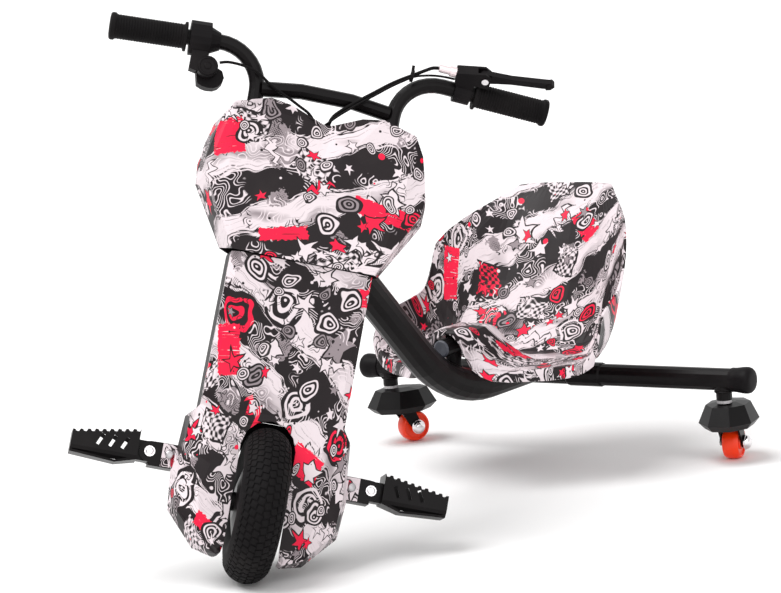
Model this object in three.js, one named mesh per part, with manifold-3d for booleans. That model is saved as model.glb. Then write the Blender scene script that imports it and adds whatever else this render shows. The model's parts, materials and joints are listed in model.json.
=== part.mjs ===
// Drift trike with a steered front wheel, a bucket seat and two rear casters.
// Lengths are in millimetres. +Z is up, the front wheel points to -Y and the rider's left is +X.
// The steered front is drawn in its own frame: x along the bar, n forwards, t up along the steering axis.

import * as THREE from "three";
import { mergeVertices } from "three/addons/utils/BufferGeometryUtils.js";
import Module from "manifold-3d";

const wasm = await Module();
wasm.setup();

// Fits shared by all pieces
const gap = 0.3;
const overrun = 6;
const easedShare = 0.02;
const sides = { tube: 16, thin: 12, bar: 12, cord: 8, wheel: 48, caster: 24, bolt: 12, nut: 6, hood: 8 };

// Steering geometry and front wheel
const steer = { rakeDeg: 24, restDeg: 43.5, axisY: -674.8 };
const tyre = { radius: 108, width: 68, beadRadius: 67, beadHalf: 21, arcDeg: 100, arcStepDeg: 20 };
const wheelPlace = { forward: 40, drop: 290.3 };
const hub = {
  shellHalf: 20.5, faceHalf: 25, domeHalf: 32, bossHalf: 39, faceRadius: 52, domeRadius: 24, bossRadius: 13,
};
const frontAxle = { radius: 6, beyond: 11, nutRadius: 10, nutWidth: 7 };

// Main frame
const mainTube = {
  diameter: 51, slopeDeg: 45, bendRadius: 270, rise: 20, meetsHead: 135, endBack: 6, bendSteps: 8,
};
const head = { radius: 23, boreRadius: 17, low: 84, high: 186 };
const steerer = { radius: 14.3, top: 214 };
const cup = { radius: 25, spigot: 12, upperHeight: 9.4, lowerHeight: 13.4 };
const axleTube = {
  diameter: 35, height: 133, half: 349, sleeveRadius: 19.5, sleeveFrom: 38, sleeveTo: 102, sleeveTaper: 3,
};
const endCap = {
  cover: 18, thick: 18, neckRadius: 18.8, flareRadius: 20.8, flareBack: 17, shoulderBack: 7, domeRadius: 13,
};

// Rear casters
const caster = {
  inset: 34, trail: 36, leftToeDeg: 11, rightToeDeg: -30,
  stemRadius: 6, stemTop: 114, socketRadius: 12.5, socketLow: 101, filletRadius: 15.5, filletDrop: 4,
};
const bearing = { radius: 12 };
const casterFork = {
  plateRadius: 20, plate: 4, cheek: 3, cheekGap: 1.5, bossRadius: 9, backShare: 0.6, bossDeg: 202,
  bossSteps: 6,
};
const hood = {
  crown: 96, top: 92.5, waist: 65, foot: 55, crownHalf: 14, topHalf: 34, waistHalf: 46, footHalf: 37, wall: 3,
  lengthShare: 1.34, setBack: 18,
};
const casterWheel = { radius: 26, half: 13, treadHalf: 8, shoulderDrop: 3, hubRadius: 10, hubRecess: 2 };
const casterAxle = { radius: 3, headRadius: 6, headHeight: 4, nutRadius: 12, nutDepth: 10, nutLand: 3 };

// Seat rail and seat
const rail = { diameter: 28, height: 227, front: -303, back: -226, boreRadius: 11.5, boreDepth: 30 };
const post = { radius: 12, y: -272 };
const plug = { flangeRadius: 13.4, flange: 3, bossDepth: 16, dishDepth: 1.5 };
const seat = {
  half: 212, length: 384, height: 263, front: -288, foot: 168, wall: 4, level: 187.5, flatWithin: 4,
};
const bracket = { half: 20, from: -262, to: -218, cheek: 5, drop: 25, boltY: -230, padClear: 2.2 };
const clampBolt = { radius: 3, headRadius: 6, headHeight: 4, rise: 6 };

// Fork and yoke
const fork = {
  crownLow: 52, crownHigh: 70, crownHalf: 76, crownBackHalf: 40, crownBack: -18, crownFront: 45,
  legX: 58, legN: 30, legRadius: 15, legBelow: 22,
  dropoutInner: 44, dropout: 6, dropoutAbove: 8, dropoutRadius: 15, roundSteps: 6,
};
const lug = { half: 136, depth: 11.7, below: 11, above: 13, blockHalf: 80, blockFront: 28 };
const yoke = { low: 196, high: 208, half: 114, back: -22, front: 45.5, backHalf: 34, sideBack: 18 };

// Handlebar and controls
const bar = {
  bendSteps: 9, diameter: 22, endX: 313, endT: 335.5, cornerX: 98.5, cornerT: 347, footX: 97.5, footT: 191,
  bendRadius: 60, forward: 33, crossForward: 36, crossX: 92, crossEndT: 287.5, crossMidX: 36, crossMidT: 295,
};
const grip = {
  length: 109, cap: 3, radius: 17.5, endRadius: 19.5, endLength: 5, edge: 1, edgeIn: 2, flangeRadius: 21,
  flange: 4,
};
const throttle = {
  clampFrom: 174, clampTo: 203, clampRadius: 25, hubX: 172, hubT: 302, hubRadius: 15, hubBoreRadius: 5,
  back: 30, front: 47, pinRadius: 4.7, leverBack: 10, paddleRadius: 29, webTop: 352,
  cheekOut: 25, cheekTop: 21, cheekLow: 8, coneFrom: 160, coneRadius: 12.8, coneRoot: 22,
};
const brake = {
  tiltDeg: 35, clampFrom: 178, clampTo: 202, clampRadius: 17, bodyFrom: 174, bodyTo: 223, bodyNear: 18,
  bodyFar: 47,
  bodyHalf: 9.5, slotHalf: 5.5, slotFrom: 203, slotNear: 22.5, pivotX: 215, pivotFar: 36, pinRadius: 3,
  pinHeadRadius: 5, pinHalf: 12, step: 1,
  bossRadius: 8.5, bladeHalf: 5, tipHalf: 6.5, bladeNear: 37, bladeStart: 232, bladeMid: 252, bladeMidFar: 47,
  tipX: 308, tipFar: 54, bladeWidth: 9, endWidth: 13,
};
const adjuster = {
  from: 149, to: 173.6, far: 31, radius: 5.5, collarRadius: 7.5, collar: 9, boreRadius: 2.9,
};
const cable = { radius: 2.5, wireRadius: 1.6, leadRadius: 2, stepShare: 6 };
const tie = { x: 113, forward: 54.2, high: 344.2, width: 4, wall: 1.6, tail: 8 };

// Printed covers, black rear shell and what they hold
const shield = { half: 162, front: 110, top: 262, wall: 3 };
const panel = { half: 123, front: 104, below: 77.7, wall: 3 };
const tab = { reach: 138, root: 110, below: 18, above: 14, bridgeHalf: 8, plate: 3, bridgeOut: 121 };
const shell = {
  topHalf: 98, topT: 48, topBack: 9, bottomHalf: 100, overTyre: 14.3, bottomBack: -20, wall: 3, legClear: 1,
  plateBack: 46, plateFront: 49.4, plateDrop: 4,
};
const battery = { half: 38, back: 9, front: 54, low: -150, high: 18, chamfer: 6 };
const shelf = { half: 40, thick: 4, front: 50 };
const controller = { half: 36, back: 12.5, front: 42, height: 23, chamfer: 3 };
const button = { x: 62, t: 150, radius: 9, proud: 5, edge: 1, travel: 2 };
const port = { x: -62, t: 150, holeRadius: 8, flapRadius: 12, flap: 2.4, hingeRadius: 1.2, hingeHalf: 7 };

// Foot pegs, with heights from their pivot, which stands above the wheel's centre
const peg = {
  inner: 171.3, outer: 263, half: 25, wall: 3, innerTop: 27, outerTop: 11, innerLow: -15, outerLow: -19,
  bulgeX: 200, bulgeLow: -23, floor: 3, taper: 9, taperRise: 13, taperUnder: 1, teethCount: 9, tooth: 2.2,
  slotLength: 17, slotWidth: 5, slotDeg: 24, slotRise: 4, slotFirst: 190, slotPitch: 17, slotCount: 3,
};
const pegPivot = {
  x: 155, rise: 50.3, roundSteps: 8, radius: 4, headRadius: 7.5, headHeight: 4, tongueRadius: 14,
  nutRadius: 6.5,
};
const pegBracket = {
  from: 106, plate: 3, endRadius: 14.5, high: 15, low: -19, web: 3, fixX: 127, fixRadius: 3.5,
};

// Thumb paddle as angles in half turns and shares of its radius
const paddleShares = [
  [-0.63, 0.84], [-0.53, 0.88], [-0.44, 0.93], [-0.34, 1], [-0.26, 1.03], [-0.17, 1.01], [-0.09, 0.95],
  [0.02, 0.77],
];

// Outlines as shares of the sizes above, for the half on the rider's left
const shieldShares = {
  notch: [0, 0.795, 0.916],
  brow: [0, 0.955, 0.584],
  foot: [0, 1, 0.153],
  notchSide: [0.074, 0.8, 0.924],
  topInner: [0.309, 0.836, 0.985],
  topOuter: [0.494, 0.864, 1],
  corner: [0.79, 0.836, 0.95],
  shoulder: [0.877, 0.818, 0.851],
  flank: [0.92, 0.818, 0.737],
  hip: [0.951, 0.864, 0.622],
  widest: [0.932, 0.918, 0.531],
  crease: [0.753, 0.955, 0.584],
  waist: [0.611, 1, 0.153],
  topInnerBack: [0.309, 0.473, 0.977],
  topOuterBack: [0.494, 0.473, 0.989],
  cornerBack: [0.821, 0.455, 0.939],
  shoulderBack: [0.92, 0.455, 0.844],
  flankBack: [0.969, 0.455, 0.733],
  hipBack: [1, 0.455, 0.611],
  widestBack: [0.988, 0.455, 0.504],
  waistBack: [0.691, 0.455, 0.191],
};
const shieldFaces = [
  ["brow", "crease", "corner", "topOuter", "topInner", "notchSide", "notch"],
  ["brow", "foot", "waist", "crease"],
  ["crease", "waist", "widest"],
  ["crease", "widest", "hip", "flank", "shoulder", "corner"],
  ["hip", "widest", "widestBack", "hipBack"],
  ["flank", "hip", "hipBack", "flankBack"],
  ["shoulder", "flank", "flankBack", "shoulderBack"],
  ["corner", "shoulder", "shoulderBack", "cornerBack"],
  ["widest", "waist", "waistBack", "widestBack"],
  ["topOuter", "corner", "cornerBack", "topOuterBack"],
  ["topInner", "topOuter", "topOuterBack", "topInnerBack"],
];
const panelShares = {
  topMid: [0, 1, 0.107],
  topFront: [0.715, 1, 0.107],
  topSide: [0.797, 0.933, 0.107],
  topRim: [0.797, 0.769, 0.107],
  neckMid: [0, 0.596, -0.457],
  neckFront: [0.724, 0.596, -0.457],
  neckSide: [0.813, 0.529, -0.457],
  neckRim: [0.813, 0.365, -0.457],
  archTop: [0, 0.596, -0.478],
  archUpper: [0.146, 0.596, -0.489],
  archSide: [0.26, 0.596, -0.527],
  slotTop: [0.309, 0.596, -0.576],
  slotFoot: [0.309, 0.596, -0.954],
  creaseTop: [0.675, 0.596, -0.541],
  creaseIn: [0.602, 0.596, -0.674],
  creaseOut: [0.683, 0.596, -0.783],
  creaseLow: [0.626, 0.596, -0.867],
  creaseFoot: [0.374, 0.596, -0.978],
  edgeTop: [0.902, 0.481, -0.5],
  edgeUpper: [0.911, 0.452, -0.62],
  edgeWide: [0.927, 0.442, -0.715],
  edgeLow: [0.894, 0.452, -0.851],
  edgeFoot: [0.585, 0.481, -0.967],
  edgeInner: [0.366, 0.51, -0.995],
  slotLip: [0.325, 0.548, -0.986],
  rimTop: [0.943, 0.192, -0.5],
  rimUpper: [0.967, 0.192, -0.62],
  rimWide: [1, 0.192, -0.715],
  rimLow: [0.959, 0.192, -0.856],
  rimFoot: [0.618, 0.192, -0.981],
  rimInner: [0.374, 0.192, -1],
  rimSlot: [0.333, 0.192, -0.992],
};
const panelFaces = [
  ["topMid", "neckMid", "neckFront", "topFront"],
  ["topFront", "neckFront", "neckSide", "topSide"],
  ["topSide", "neckSide", "neckRim", "topRim"],
  ["neckFront", "neckMid", "archTop", "archUpper", "archSide", "creaseTop"],
  ["archSide", "slotTop", "creaseIn", "creaseTop"],
  ["slotTop", "slotFoot", "creaseFoot", "creaseLow", "creaseOut", "creaseIn"],
  ["neckFront", "creaseTop", "edgeTop", "neckSide"],
  ["creaseTop", "creaseIn", "edgeUpper", "edgeTop"],
  ["creaseIn", "creaseOut", "edgeWide", "edgeUpper"],
  ["creaseOut", "creaseLow", "edgeLow", "edgeWide"],
  ["creaseLow", "creaseFoot", "edgeInner", "edgeFoot", "edgeLow"],
  ["slotFoot", "slotLip", "edgeInner", "creaseFoot"],
  ["neckSide", "edgeTop", "rimTop", "neckRim"],
  ["edgeTop", "edgeUpper", "rimUpper", "rimTop"],
  ["edgeUpper", "edgeWide", "rimWide", "rimUpper"],
  ["edgeWide", "edgeLow", "rimLow", "rimWide"],
  ["edgeLow", "edgeFoot", "rimFoot", "rimLow"],
  ["edgeFoot", "edgeInner", "rimInner", "rimFoot"],
  ["edgeInner", "slotLip", "rimSlot", "rimInner"],
];
// Seat rows from the front edge to the top, each from the middle out to the rim, as shares of the seat's size
const seatShares = [
  [[0, -0.003, 0.308], [0.113, -0.005, 0.243], [0.198, -0.005, 0.099], [0.34, 0.016, 0.03],
    [0.557, 0.104, 0.008], [0.769, 0.185, 0.008], [0.877, 0.221, 0.03], [0.943, 0.245, 0.068]],
  [[0, 0.01, 0.327], [0.127, 0.01, 0.3], [0.236, 0.018, 0.152], [0.377, 0.052, 0.076],
    [0.575, 0.13, 0.074], [0.778, 0.206, 0.074], [0.906, 0.232, 0.103], [0.976, 0.25, 0.148]],
  [[0, 0.112, 0.323], [0.151, 0.112, 0.308], [0.264, 0.112, 0.137], [0.396, 0.13, 0.074],
    [0.585, 0.19, 0.074], [0.792, 0.255, 0.074], [0.915, 0.263, 0.137], [0.967, 0.268, 0.243]],
  [[0, 0.229, 0.308], [0.151, 0.234, 0.289], [0.283, 0.242, 0.129], [0.415, 0.281, 0.074],
    [0.594, 0.32, 0.074], [0.792, 0.359, 0.074], [0.887, 0.359, 0.167], [0.915, 0.359, 0.342]],
  [[0, 0.339, 0.114], [0.16, 0.344, 0.106], [0.292, 0.359, 0.084], [0.425, 0.398, 0.074],
    [0.585, 0.424, 0.074], [0.745, 0.458, 0.084], [0.835, 0.469, 0.19], [0.863, 0.477, 0.388]],
  [[0, 0.49, 0.074], [0.16, 0.49, 0.074], [0.311, 0.495, 0.074], [0.453, 0.503, 0.074],
    [0.585, 0.518, 0.08], [0.717, 0.544, 0.137], [0.802, 0.557, 0.274], [0.84, 0.565, 0.441]],
  [[0, 0.589, 0.16], [0.16, 0.589, 0.16], [0.311, 0.589, 0.16], [0.462, 0.591, 0.167],
    [0.594, 0.599, 0.205], [0.717, 0.609, 0.304], [0.797, 0.617, 0.441], [0.84, 0.622, 0.57]],
  [[0, 0.698, 0.316], [0.17, 0.695, 0.316], [0.33, 0.69, 0.319], [0.481, 0.677, 0.342],
    [0.604, 0.664, 0.403], [0.708, 0.656, 0.502], [0.788, 0.654, 0.608], [0.83, 0.656, 0.692]],
  [[0, 0.797, 0.559], [0.16, 0.797, 0.559], [0.311, 0.792, 0.563], [0.443, 0.776, 0.586],
    [0.547, 0.76, 0.627], [0.623, 0.76, 0.692], [0.67, 0.771, 0.757], [0.703, 0.779, 0.821]],
  [[0, 0.893, 0.787], [0.142, 0.893, 0.787], [0.264, 0.888, 0.791], [0.368, 0.88, 0.806],
    [0.434, 0.875, 0.829], [0.486, 0.87, 0.856], [0.528, 0.875, 0.882], [0.557, 0.885, 0.905]],
  [[0, 1, 1], [0.075, 1, 1], [0.146, 1, 1], [0.212, 0.999, 0.999],
    [0.269, 0.997, 0.997], [0.321, 0.995, 0.995], [0.368, 0.992, 0.992], [0.406, 0.99, 0.989]],
];

// Cord routes in the steered frame, as x, n, t points chosen by hand
const brakeCableRoute = [
  [148.4, 58.4, 362.1], [140, 57.6, 360.6], [132, 56, 356.5], [116, 52.5, 347], [99, 52, 336.5],
  [84, 51.5, 326],
  [66, 51, 311.5], [50, 50.8, 298.5], [34, 51.5, 285], [21, 53, 273], [12, 55, 262], [8, 57, 250],
  [6, 58, 236],
  [6, 58, 200], [6, 58, 100], [6, 58, 0], [6, 58, -100], [7, 58, -148], [18, 57, -164], [33, 55, -172],
  [38.6, 52, -186], [38.8, 50, -205], [38.8, 47, -235], [38.8, 43, -262], [38.8, 41, -272],
];
const switchWireRoute = [
  [173.4, 56, 351.5], [160, 56.6, 351.6], [146, 57, 350.6], [132, 57, 348], [116, 56.8, 343], [99, 56.4, 332],
  [84, 56, 321], [66, 55.6, 306], [50, 55.4, 293], [34, 56, 279], [20, 58, 266], [9, 60.5, 254],
  [0, 62.5, 243],
  [-3, 63.5, 225], [-3, 63.5, 150], [-3, 62, 90], [-3, 59, 50], [-3, 55, 35], [-3, 49, 30], [-3, 42.4, 30],
];
const leadRoute = [
  [-156.5, 50, 309], [-146, 50.5, 312], [-129, 51, 312], [-116, 51, 310], [-102, 51, 306], [-82, 51, 292.5],
  [-66, 51.5, 284], [-51, 52, 277], [-36, 53, 269], [-22, 54.5, 261], [-14, 56.5, 251], [-12, 58, 238],
  [-12, 58, 200], [-12, 58, 150], [-12, 58, 90], [-12, 57.5, 50], [-12, 54, 34], [-12, 49, 30],
  [-12, 45.5, 30], [-12, 42.5, 30],
];

// Derived places
const rake = THREE.MathUtils.degToRad(steer.rakeDeg);
const rest = THREE.MathUtils.degToRad(steer.restDeg);
const axisZ = wheelHeight() + wheelPlace.drop * Math.cos(rake)
  - wheelPlace.forward * Math.cos(rest) * Math.sin(rake);
const tubeRadius = mainTube.diameter / 2;
const axleRadius = axleTube.diameter / 2;
const railRadius = rail.diameter / 2;
const barRadius = bar.diameter / 2;
const tubeHeight = axleTube.height + mainTube.rise;
const casterSpread = axleTube.half - caster.inset;
const pegT = pegPivot.rise - wheelPlace.drop;
const panelDrop = wheelPlace.drop + panel.below;
const shellBottom = tyre.radius + shell.overTyre - wheelPlace.drop;
const xUnit = new THREE.Vector3(1, 0, 0);
const yUnit = new THREE.Vector3(0, 1, 0);
const zUnit = new THREE.Vector3(0, 0, 1);

// Height of the front wheel's centre when the leaning tyre just touches the ground
function wheelHeight() {
  const tubeR = tyre.width / 2;
  const lean = Math.sin(rest) * Math.sin(rake);
  return (tyre.radius - tubeR) * Math.sqrt(1 - lean * lean) + tubeR;
}

// A point of the steered frame in that group's own axes
function at(x, n, t) {
  return new THREE.Vector3(x, -n, t);
}

// Closed solid with shared vertices and outward faces
function solid(geometry) {
  const bare = geometry.clone();
  bare.deleteAttribute("normal");
  bare.deleteAttribute("uv");
  const merged = mergeVertices(bare);
  const places = merged.attributes.position.array;
  const index = merged.index.array;
  const kept = [];
  for (let i = 0; i < index.length; i += 3) {
    const [a, b, c] = index.slice(i, i + 3);
    if (a !== b && b !== c && c !== a) kept.push(a, b, c);
  }
  if (signedVolume(places, kept) < 0) kept.reverse();
  return new wasm.Manifold(new wasm.Mesh({
    numProp: 3,
    vertProperties: new Float32Array(places),
    triVerts: new Uint32Array(kept),
  }));
}

function signedVolume(places, index) {
  const corner = (i) => new THREE.Vector3().fromArray(places, 3 * index[i]);
  let total = 0;
  for (let i = 0; i < index.length; i += 3) total += corner(i).dot(corner(i + 1).cross(corner(i + 2)));
  return total;
}

function geometryOf(manifold) {
  const mesh = manifold.getMesh();
  const geometry = new THREE.BufferGeometry();
  geometry.setAttribute("position", new THREE.Float32BufferAttribute(mesh.vertProperties, 3));
  geometry.setIndex(new THREE.Uint32BufferAttribute(mesh.triVerts, 1));
  return geometry;
}

function join(first, ...others) {
  return geometryOf(others.reduce((sum, other) => sum.add(solid(other)), solid(first)));
}

function cut(body, ...tools) {
  return geometryOf(tools.reduce((left, tool) => left.subtract(solid(tool)), solid(body)));
}

// Straight cylinder between two points
function rod(radius, from, to, count = sides.bolt) {
  const run = to.clone().sub(from);
  const geometry = new THREE.CylinderGeometry(radius, radius, run.length(), count);
  geometry.rotateY(Math.PI / count);
  geometry.applyQuaternion(new THREE.Quaternion().setFromUnitVectors(yUnit, run.normalize()));
  const middle = from.clone().add(to).multiplyScalar(1 / 2);
  return geometry.translate(middle.x, middle.y, middle.z);
}

// Turned piece: the profile holds radius and height pairs along an axis from a point
function turned(profile, from, direction, count = sides.tube) {
  const points = profile.map(([radius, height]) => new THREE.Vector2(radius, height));
  const geometry = new THREE.LatheGeometry(points, count, Math.PI / count);
  geometry.applyQuaternion(new THREE.Quaternion().setFromUnitVectors(yUnit, direction.clone().normalize()));
  return geometry.translate(from.x, from.y, from.z);
}

// Ring profile between two radii, closed on itself
function ringProfile(inner, outer, low, high) {
  return [[inner, low], [outer, low], [outer, high], [inner, high], [inner, low]];
}

function box(low, high) {
  const size = high.clone().sub(low);
  const middle = low.clone().add(high).multiplyScalar(1 / 2);
  const lengths = [Math.abs(size.x), Math.abs(size.y), Math.abs(size.z)];
  return new THREE.BoxGeometry(...lengths).translate(middle.x, middle.y, middle.z);
}

// Plate of an outline in two axes, between two depths along the third
function plate(outline, from, to, plane) {
  const shape = new THREE.Shape(outline.map(([a, b]) => new THREE.Vector2(a, b)));
  const geometry = new THREE.ExtrudeGeometry(shape, { depth: to - from, bevelEnabled: false });
  geometry.translate(0, 0, from);
  if (plane === "xt") geometry.applyMatrix4(new THREE.Matrix4().makeBasis(xUnit, zUnit,
      yUnit.clone().negate()));
  if (plane === "yz") geometry.applyMatrix4(new THREE.Matrix4().makeBasis(yUnit, zUnit, xUnit));
  return geometry;
}

// Curve that runs exactly through its stations, so that straight runs need no extra sections
class StationPath extends THREE.Curve {
  constructor(stations) {
    super();
    this.stations = stations;
  }

  getSpacedPoints() {
    return this.stations.map((station) => station.clone());
  }

  getTangentAt(share, target = new THREE.Vector3()) {
    const last = this.stations.length - 1;
    const index = Math.round(share * last);
    const after = this.stations[Math.min(index + 1, last)];
    const before = this.stations[Math.max(index - 1, 0)];
    return target.copy(after).sub(before).normalize();
  }
}

function tube(stations, radius, count) {
  const points = [];
  for (let i = 0; i < count; i += 1) {
    const angle = (2 * Math.PI * (i + 1 / 2)) / count;
    points.push(new THREE.Vector2(radius * Math.cos(angle), radius * Math.sin(angle)));
  }
  const extrudePath = new StationPath(stations);
  return new THREE.ExtrudeGeometry(new THREE.Shape(points), { steps: stations.length - 1, extrudePath });
}

// Stations of a route whose inner corners are rounded to one radius
function rounded(corners, radius, stepCount) {
  const stations = [corners[0]];
  for (let i = 1; i < corners.length - 1; i += 1) {
    const back = corners[i - 1].clone().sub(corners[i]).normalize();
    const onward = corners[i + 1].clone().sub(corners[i]).normalize();
    const half = back.angleTo(onward) / 2;
    const inwards = back.clone().add(onward).normalize();
    const centre = corners[i].clone().addScaledVector(inwards, radius / Math.sin(half));
    const start = corners[i].clone().add(back.clone().multiplyScalar(radius / Math.tan(half))).sub(centre);
    const axis = onward.clone().cross(back).negate().normalize();
    const turn = Math.PI - 2 * half;
    for (let k = 0; k <= stepCount; k += 1) {
      stations.push(start.clone().applyAxisAngle(axis, -(turn * k) / stepCount).add(centre));
    }
  }
  stations.push(corners.at(-1));
  return stations;
}

// Cord through its chosen points, with a step every two or three diameters
function cord(route, radius) {
  const curve = new THREE.CatmullRomCurve3(route.map((point) => at(...point)), false, "centripetal");
  const stepCount = Math.round(curve.getLength() / (cable.stepShare * radius));
  return tube(curve.getSpacedPoints(stepCount), radius, sides.cord);
}

// Named points from a table of shares
function placed(shares, size) {
  const place = (share) => share.map((value, i) => value * size[i]);
  return Object.fromEntries(Object.entries(shares).map(([name, share]) => [name, place(share)]));
}

// Sheet of constant wall from the faces of its left half: outer faces, inner faces and rims
function sheet(points, faces, wall) {
  const names = Object.keys(points);
  const twins = names.filter((name) => points[name].x !== 0);
  const order = [...names, ...twins.map((name) => `${name}Twin`)];
  const outer = names.map((name) => points[name].clone());
  twins.forEach((name) => outer.push(points[name].clone().multiply(new THREE.Vector3(-1, 1, 1))));
  const twinOf = (name) => (points[name].x === 0 ? name : `${name}Twin`);
  const both = [...faces, ...faces.map((face) => face.map(twinOf).reverse())];
  const triangles = both.flatMap((face) => fan(face.map((name) => order.indexOf(name))));
  const inner = offsetPoints(outer, triangles, wall);
  return geometryOf(solid(shellMesh(outer, inner, triangles)));
}

// Sheet of constant wall from rows of points that run from the rider's right to the left
function gridSheet(rows, wall) {
  const width = rows[0].length;
  const outer = rows.flat();
  const triangles = [];
  for (let i = 0; i < rows.length - 1; i += 1) {
    for (let j = 0; j < width - 1; j += 1) {
      const near = i * width + j;
      const far = near + width;
      const leans = j < (width - 1) / 2;
      if (leans) triangles.push([near, near + 1, far], [near + 1, far + 1, far]);
      else triangles.push([near, near + 1, far + 1], [near, far + 1, far]);
    }
  }
  return geometryOf(solid(shellMesh(outer, offsetPoints(outer, triangles, wall), triangles)));
}

// A smooth curve through the points, with one new point between every two
function smoothed(points) {
  return new THREE.CatmullRomCurve3(points).getPoints(2 * (points.length - 1));
}

function crossed(rows) {
  return rows[0].map((_, column) => rows.map((row) => row[column]));
}

function fan(loop) {
  const triangles = [];
  for (let i = 1; i < loop.length - 1; i += 1) triangles.push([loop[0], loop[i], loop[i + 1]]);
  return triangles;
}

// Inner points that lie one wall behind every face around them, by least squares
function offsetPoints(points, triangles, wall) {
  return points.map((point, index) => {
    const matrix = new THREE.Matrix3().multiplyScalar(easedShare);
    const pull = new THREE.Vector3();
    triangles.filter((triangle) => triangle.includes(index)).forEach((triangle) => {
      const [a, b, c] = triangle.map((i) => points[i]);
      const normal = b.clone().sub(a).cross(c.clone().sub(a)).normalize();
      const weight = cornerAngle(points, triangle, index);
      const parts = normal.toArray();
      const outerProduct = parts.flatMap((u) => parts.map((v) => u * v * weight));
      matrix.elements = matrix.elements.map((value, i) => value + outerProduct[i]);
      pull.addScaledVector(normal, weight);
    });
    return point.clone().sub(pull.applyMatrix3(matrix.invert()).multiplyScalar(wall));
  });
}

function cornerAngle(points, triangle, index) {
  const [next, last] = triangle.filter((i) => i !== index);
  const one = points[next].clone().sub(points[index]);
  return one.angleTo(points[last].clone().sub(points[index]));
}

function shellMesh(outer, inner, triangles) {
  const count = outer.length;
  const edges = new Set(triangles.flatMap(([a, b, c]) => [`${a} ${b}`, `${b} ${c}`, `${c} ${a}`]));
  const index = triangles.flatMap(([a, b, c]) => [a, b, c, count + a, count + c, count + b]);
  edges.forEach((edge) => {
    const [a, b] = edge.split(" ").map(Number);
    if (!edges.has(`${b} ${a}`)) index.push(b, a, count + a, b, count + a, count + b);
  });
  const geometry = new THREE.BufferGeometry();
  const places = [...outer, ...inner].flatMap((point) => point.toArray());
  geometry.setAttribute("position", new THREE.Float32BufferAttribute(places, 3));
  geometry.setIndex(index);
  return geometry;
}

// Mirror copy for the rider's right side
function mirrored(geometry) {
  return geometryOf(solid(geometry.clone().scale(-1, 1, 1)));
}

// Frame of the head tube in the trike's axes
function headMatrix() {
  const turn = new THREE.Matrix4().makeRotationX(-rake);
  return new THREE.Matrix4().makeTranslation(0, steer.axisY, axisZ).multiply(turn);
}

function mainTubeStations() {
  const joint = at(0, 0, mainTube.meetsHead).applyMatrix4(headMatrix());
  const fall = (joint.z - tubeHeight) / Math.tan(THREE.MathUtils.degToRad(mainTube.slopeDeg));
  const corner = new THREE.Vector3(0, joint.y + fall, tubeHeight);
  return rounded([joint, corner, new THREE.Vector3(0, -mainTube.endBack, tubeHeight)], mainTube.bendRadius,
      mainTube.bendSteps);
}

function axleRod(radius, half = axleTube.half) {
  const from = new THREE.Vector3(-half, 0, axleTube.height);
  return rod(radius, from, from.clone().setX(half), sides.tube);
}

function mainTubeSolid() {
  const headRod = rod(head.radius + gap, at(0, 0, head.low - overrun), at(0, 0, head.high + overrun),
      sides.tube);
  const sleeve = axleRod(axleRadius + gap);
  return cut(tube(mainTubeStations(), tubeRadius, sides.tube), headRod.applyMatrix4(headMatrix()), sleeve);
}

function headTube() {
  return turned(ringProfile(head.boreRadius, head.radius, head.low, head.high), at(0, 0, 0), zUnit);
}

// Bearing cup: a flange outside the head tube and a spigot pressed into it
function headCup(height, seatT, outward) {
  const bore = steerer.radius + gap;
  const spigotRadius = head.boreRadius - gap;
  const profile = [
    [bore, -cup.spigot], [spigotRadius, -cup.spigot], [spigotRadius, gap], [cup.radius, gap],
    [cup.radius, height], [bore, height], [bore, -cup.spigot],
  ];
  return turned(profile, at(0, 0, seatT), at(0, 0, outward));
}

function rearAxleTube() {
  const { half, sleeveRadius, sleeveFrom, sleeveTo, sleeveTaper } = axleTube;
  const side = [[axleRadius, sleeveFrom], [sleeveRadius, sleeveFrom + sleeveTaper],
    [sleeveRadius, sleeveTo - sleeveTaper], [axleRadius, sleeveTo], [axleRadius, half], [0, half]];
  const profile = [...side.map(([radius, x]) => [radius, -x]).reverse(), ...side];
  return turned(profile, new THREE.Vector3(0, 0, axleTube.height), xUnit);
}

function axleCap() {
  const { cover, thick, neckRadius, flareRadius, flareBack, shoulderBack, domeRadius } = endCap;
  const bore = axleRadius + gap;
  const blind = axleTube.half + gap;
  const from = axleTube.half - cover;
  const end = axleTube.half + thick;
  const flareFrom = end - flareBack;
  const profile = [[bore, from], [neckRadius, from], [neckRadius, flareFrom - flareBack / 2],
      [flareRadius, flareFrom],
    [flareRadius, end - shoulderBack], [domeRadius, end], [0, end], [0, blind], [bore, blind], [bore, from]];
  return turned(profile, new THREE.Vector3(0, 0, axleTube.height), xUnit);
}

function seatRailSolid() {
  const along = (y) => new THREE.Vector3(0, y, rail.height);
  const body = rod(railRadius, along(rail.front), along(rail.back), sides.tube);
  const bore = rod(rail.boreRadius, along(rail.front - overrun), along(rail.front + rail.boreDepth),
      sides.tube);
  const leg = rod(post.radius, new THREE.Vector3(0, post.y, tubeHeight), along(post.y), sides.thin);
  const saddle = tube(mainTubeStations(), tubeRadius + gap, sides.tube);
  return cut(join(body, leg), saddle, bore);
}

function railPlug() {
  const { flangeRadius, flange, bossDepth, dishDepth } = plug;
  const boss = rail.boreRadius - gap;
  const profile = [[0, dishDepth - flange], [boss, -flange], [flangeRadius, -flange / 2],
      [flangeRadius, -gap],
    [boss, -gap], [boss, bossDepth], [0, bossDepth]];
  return turned(profile, new THREE.Vector3(0, rail.front, rail.height), yUnit);
}

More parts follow.
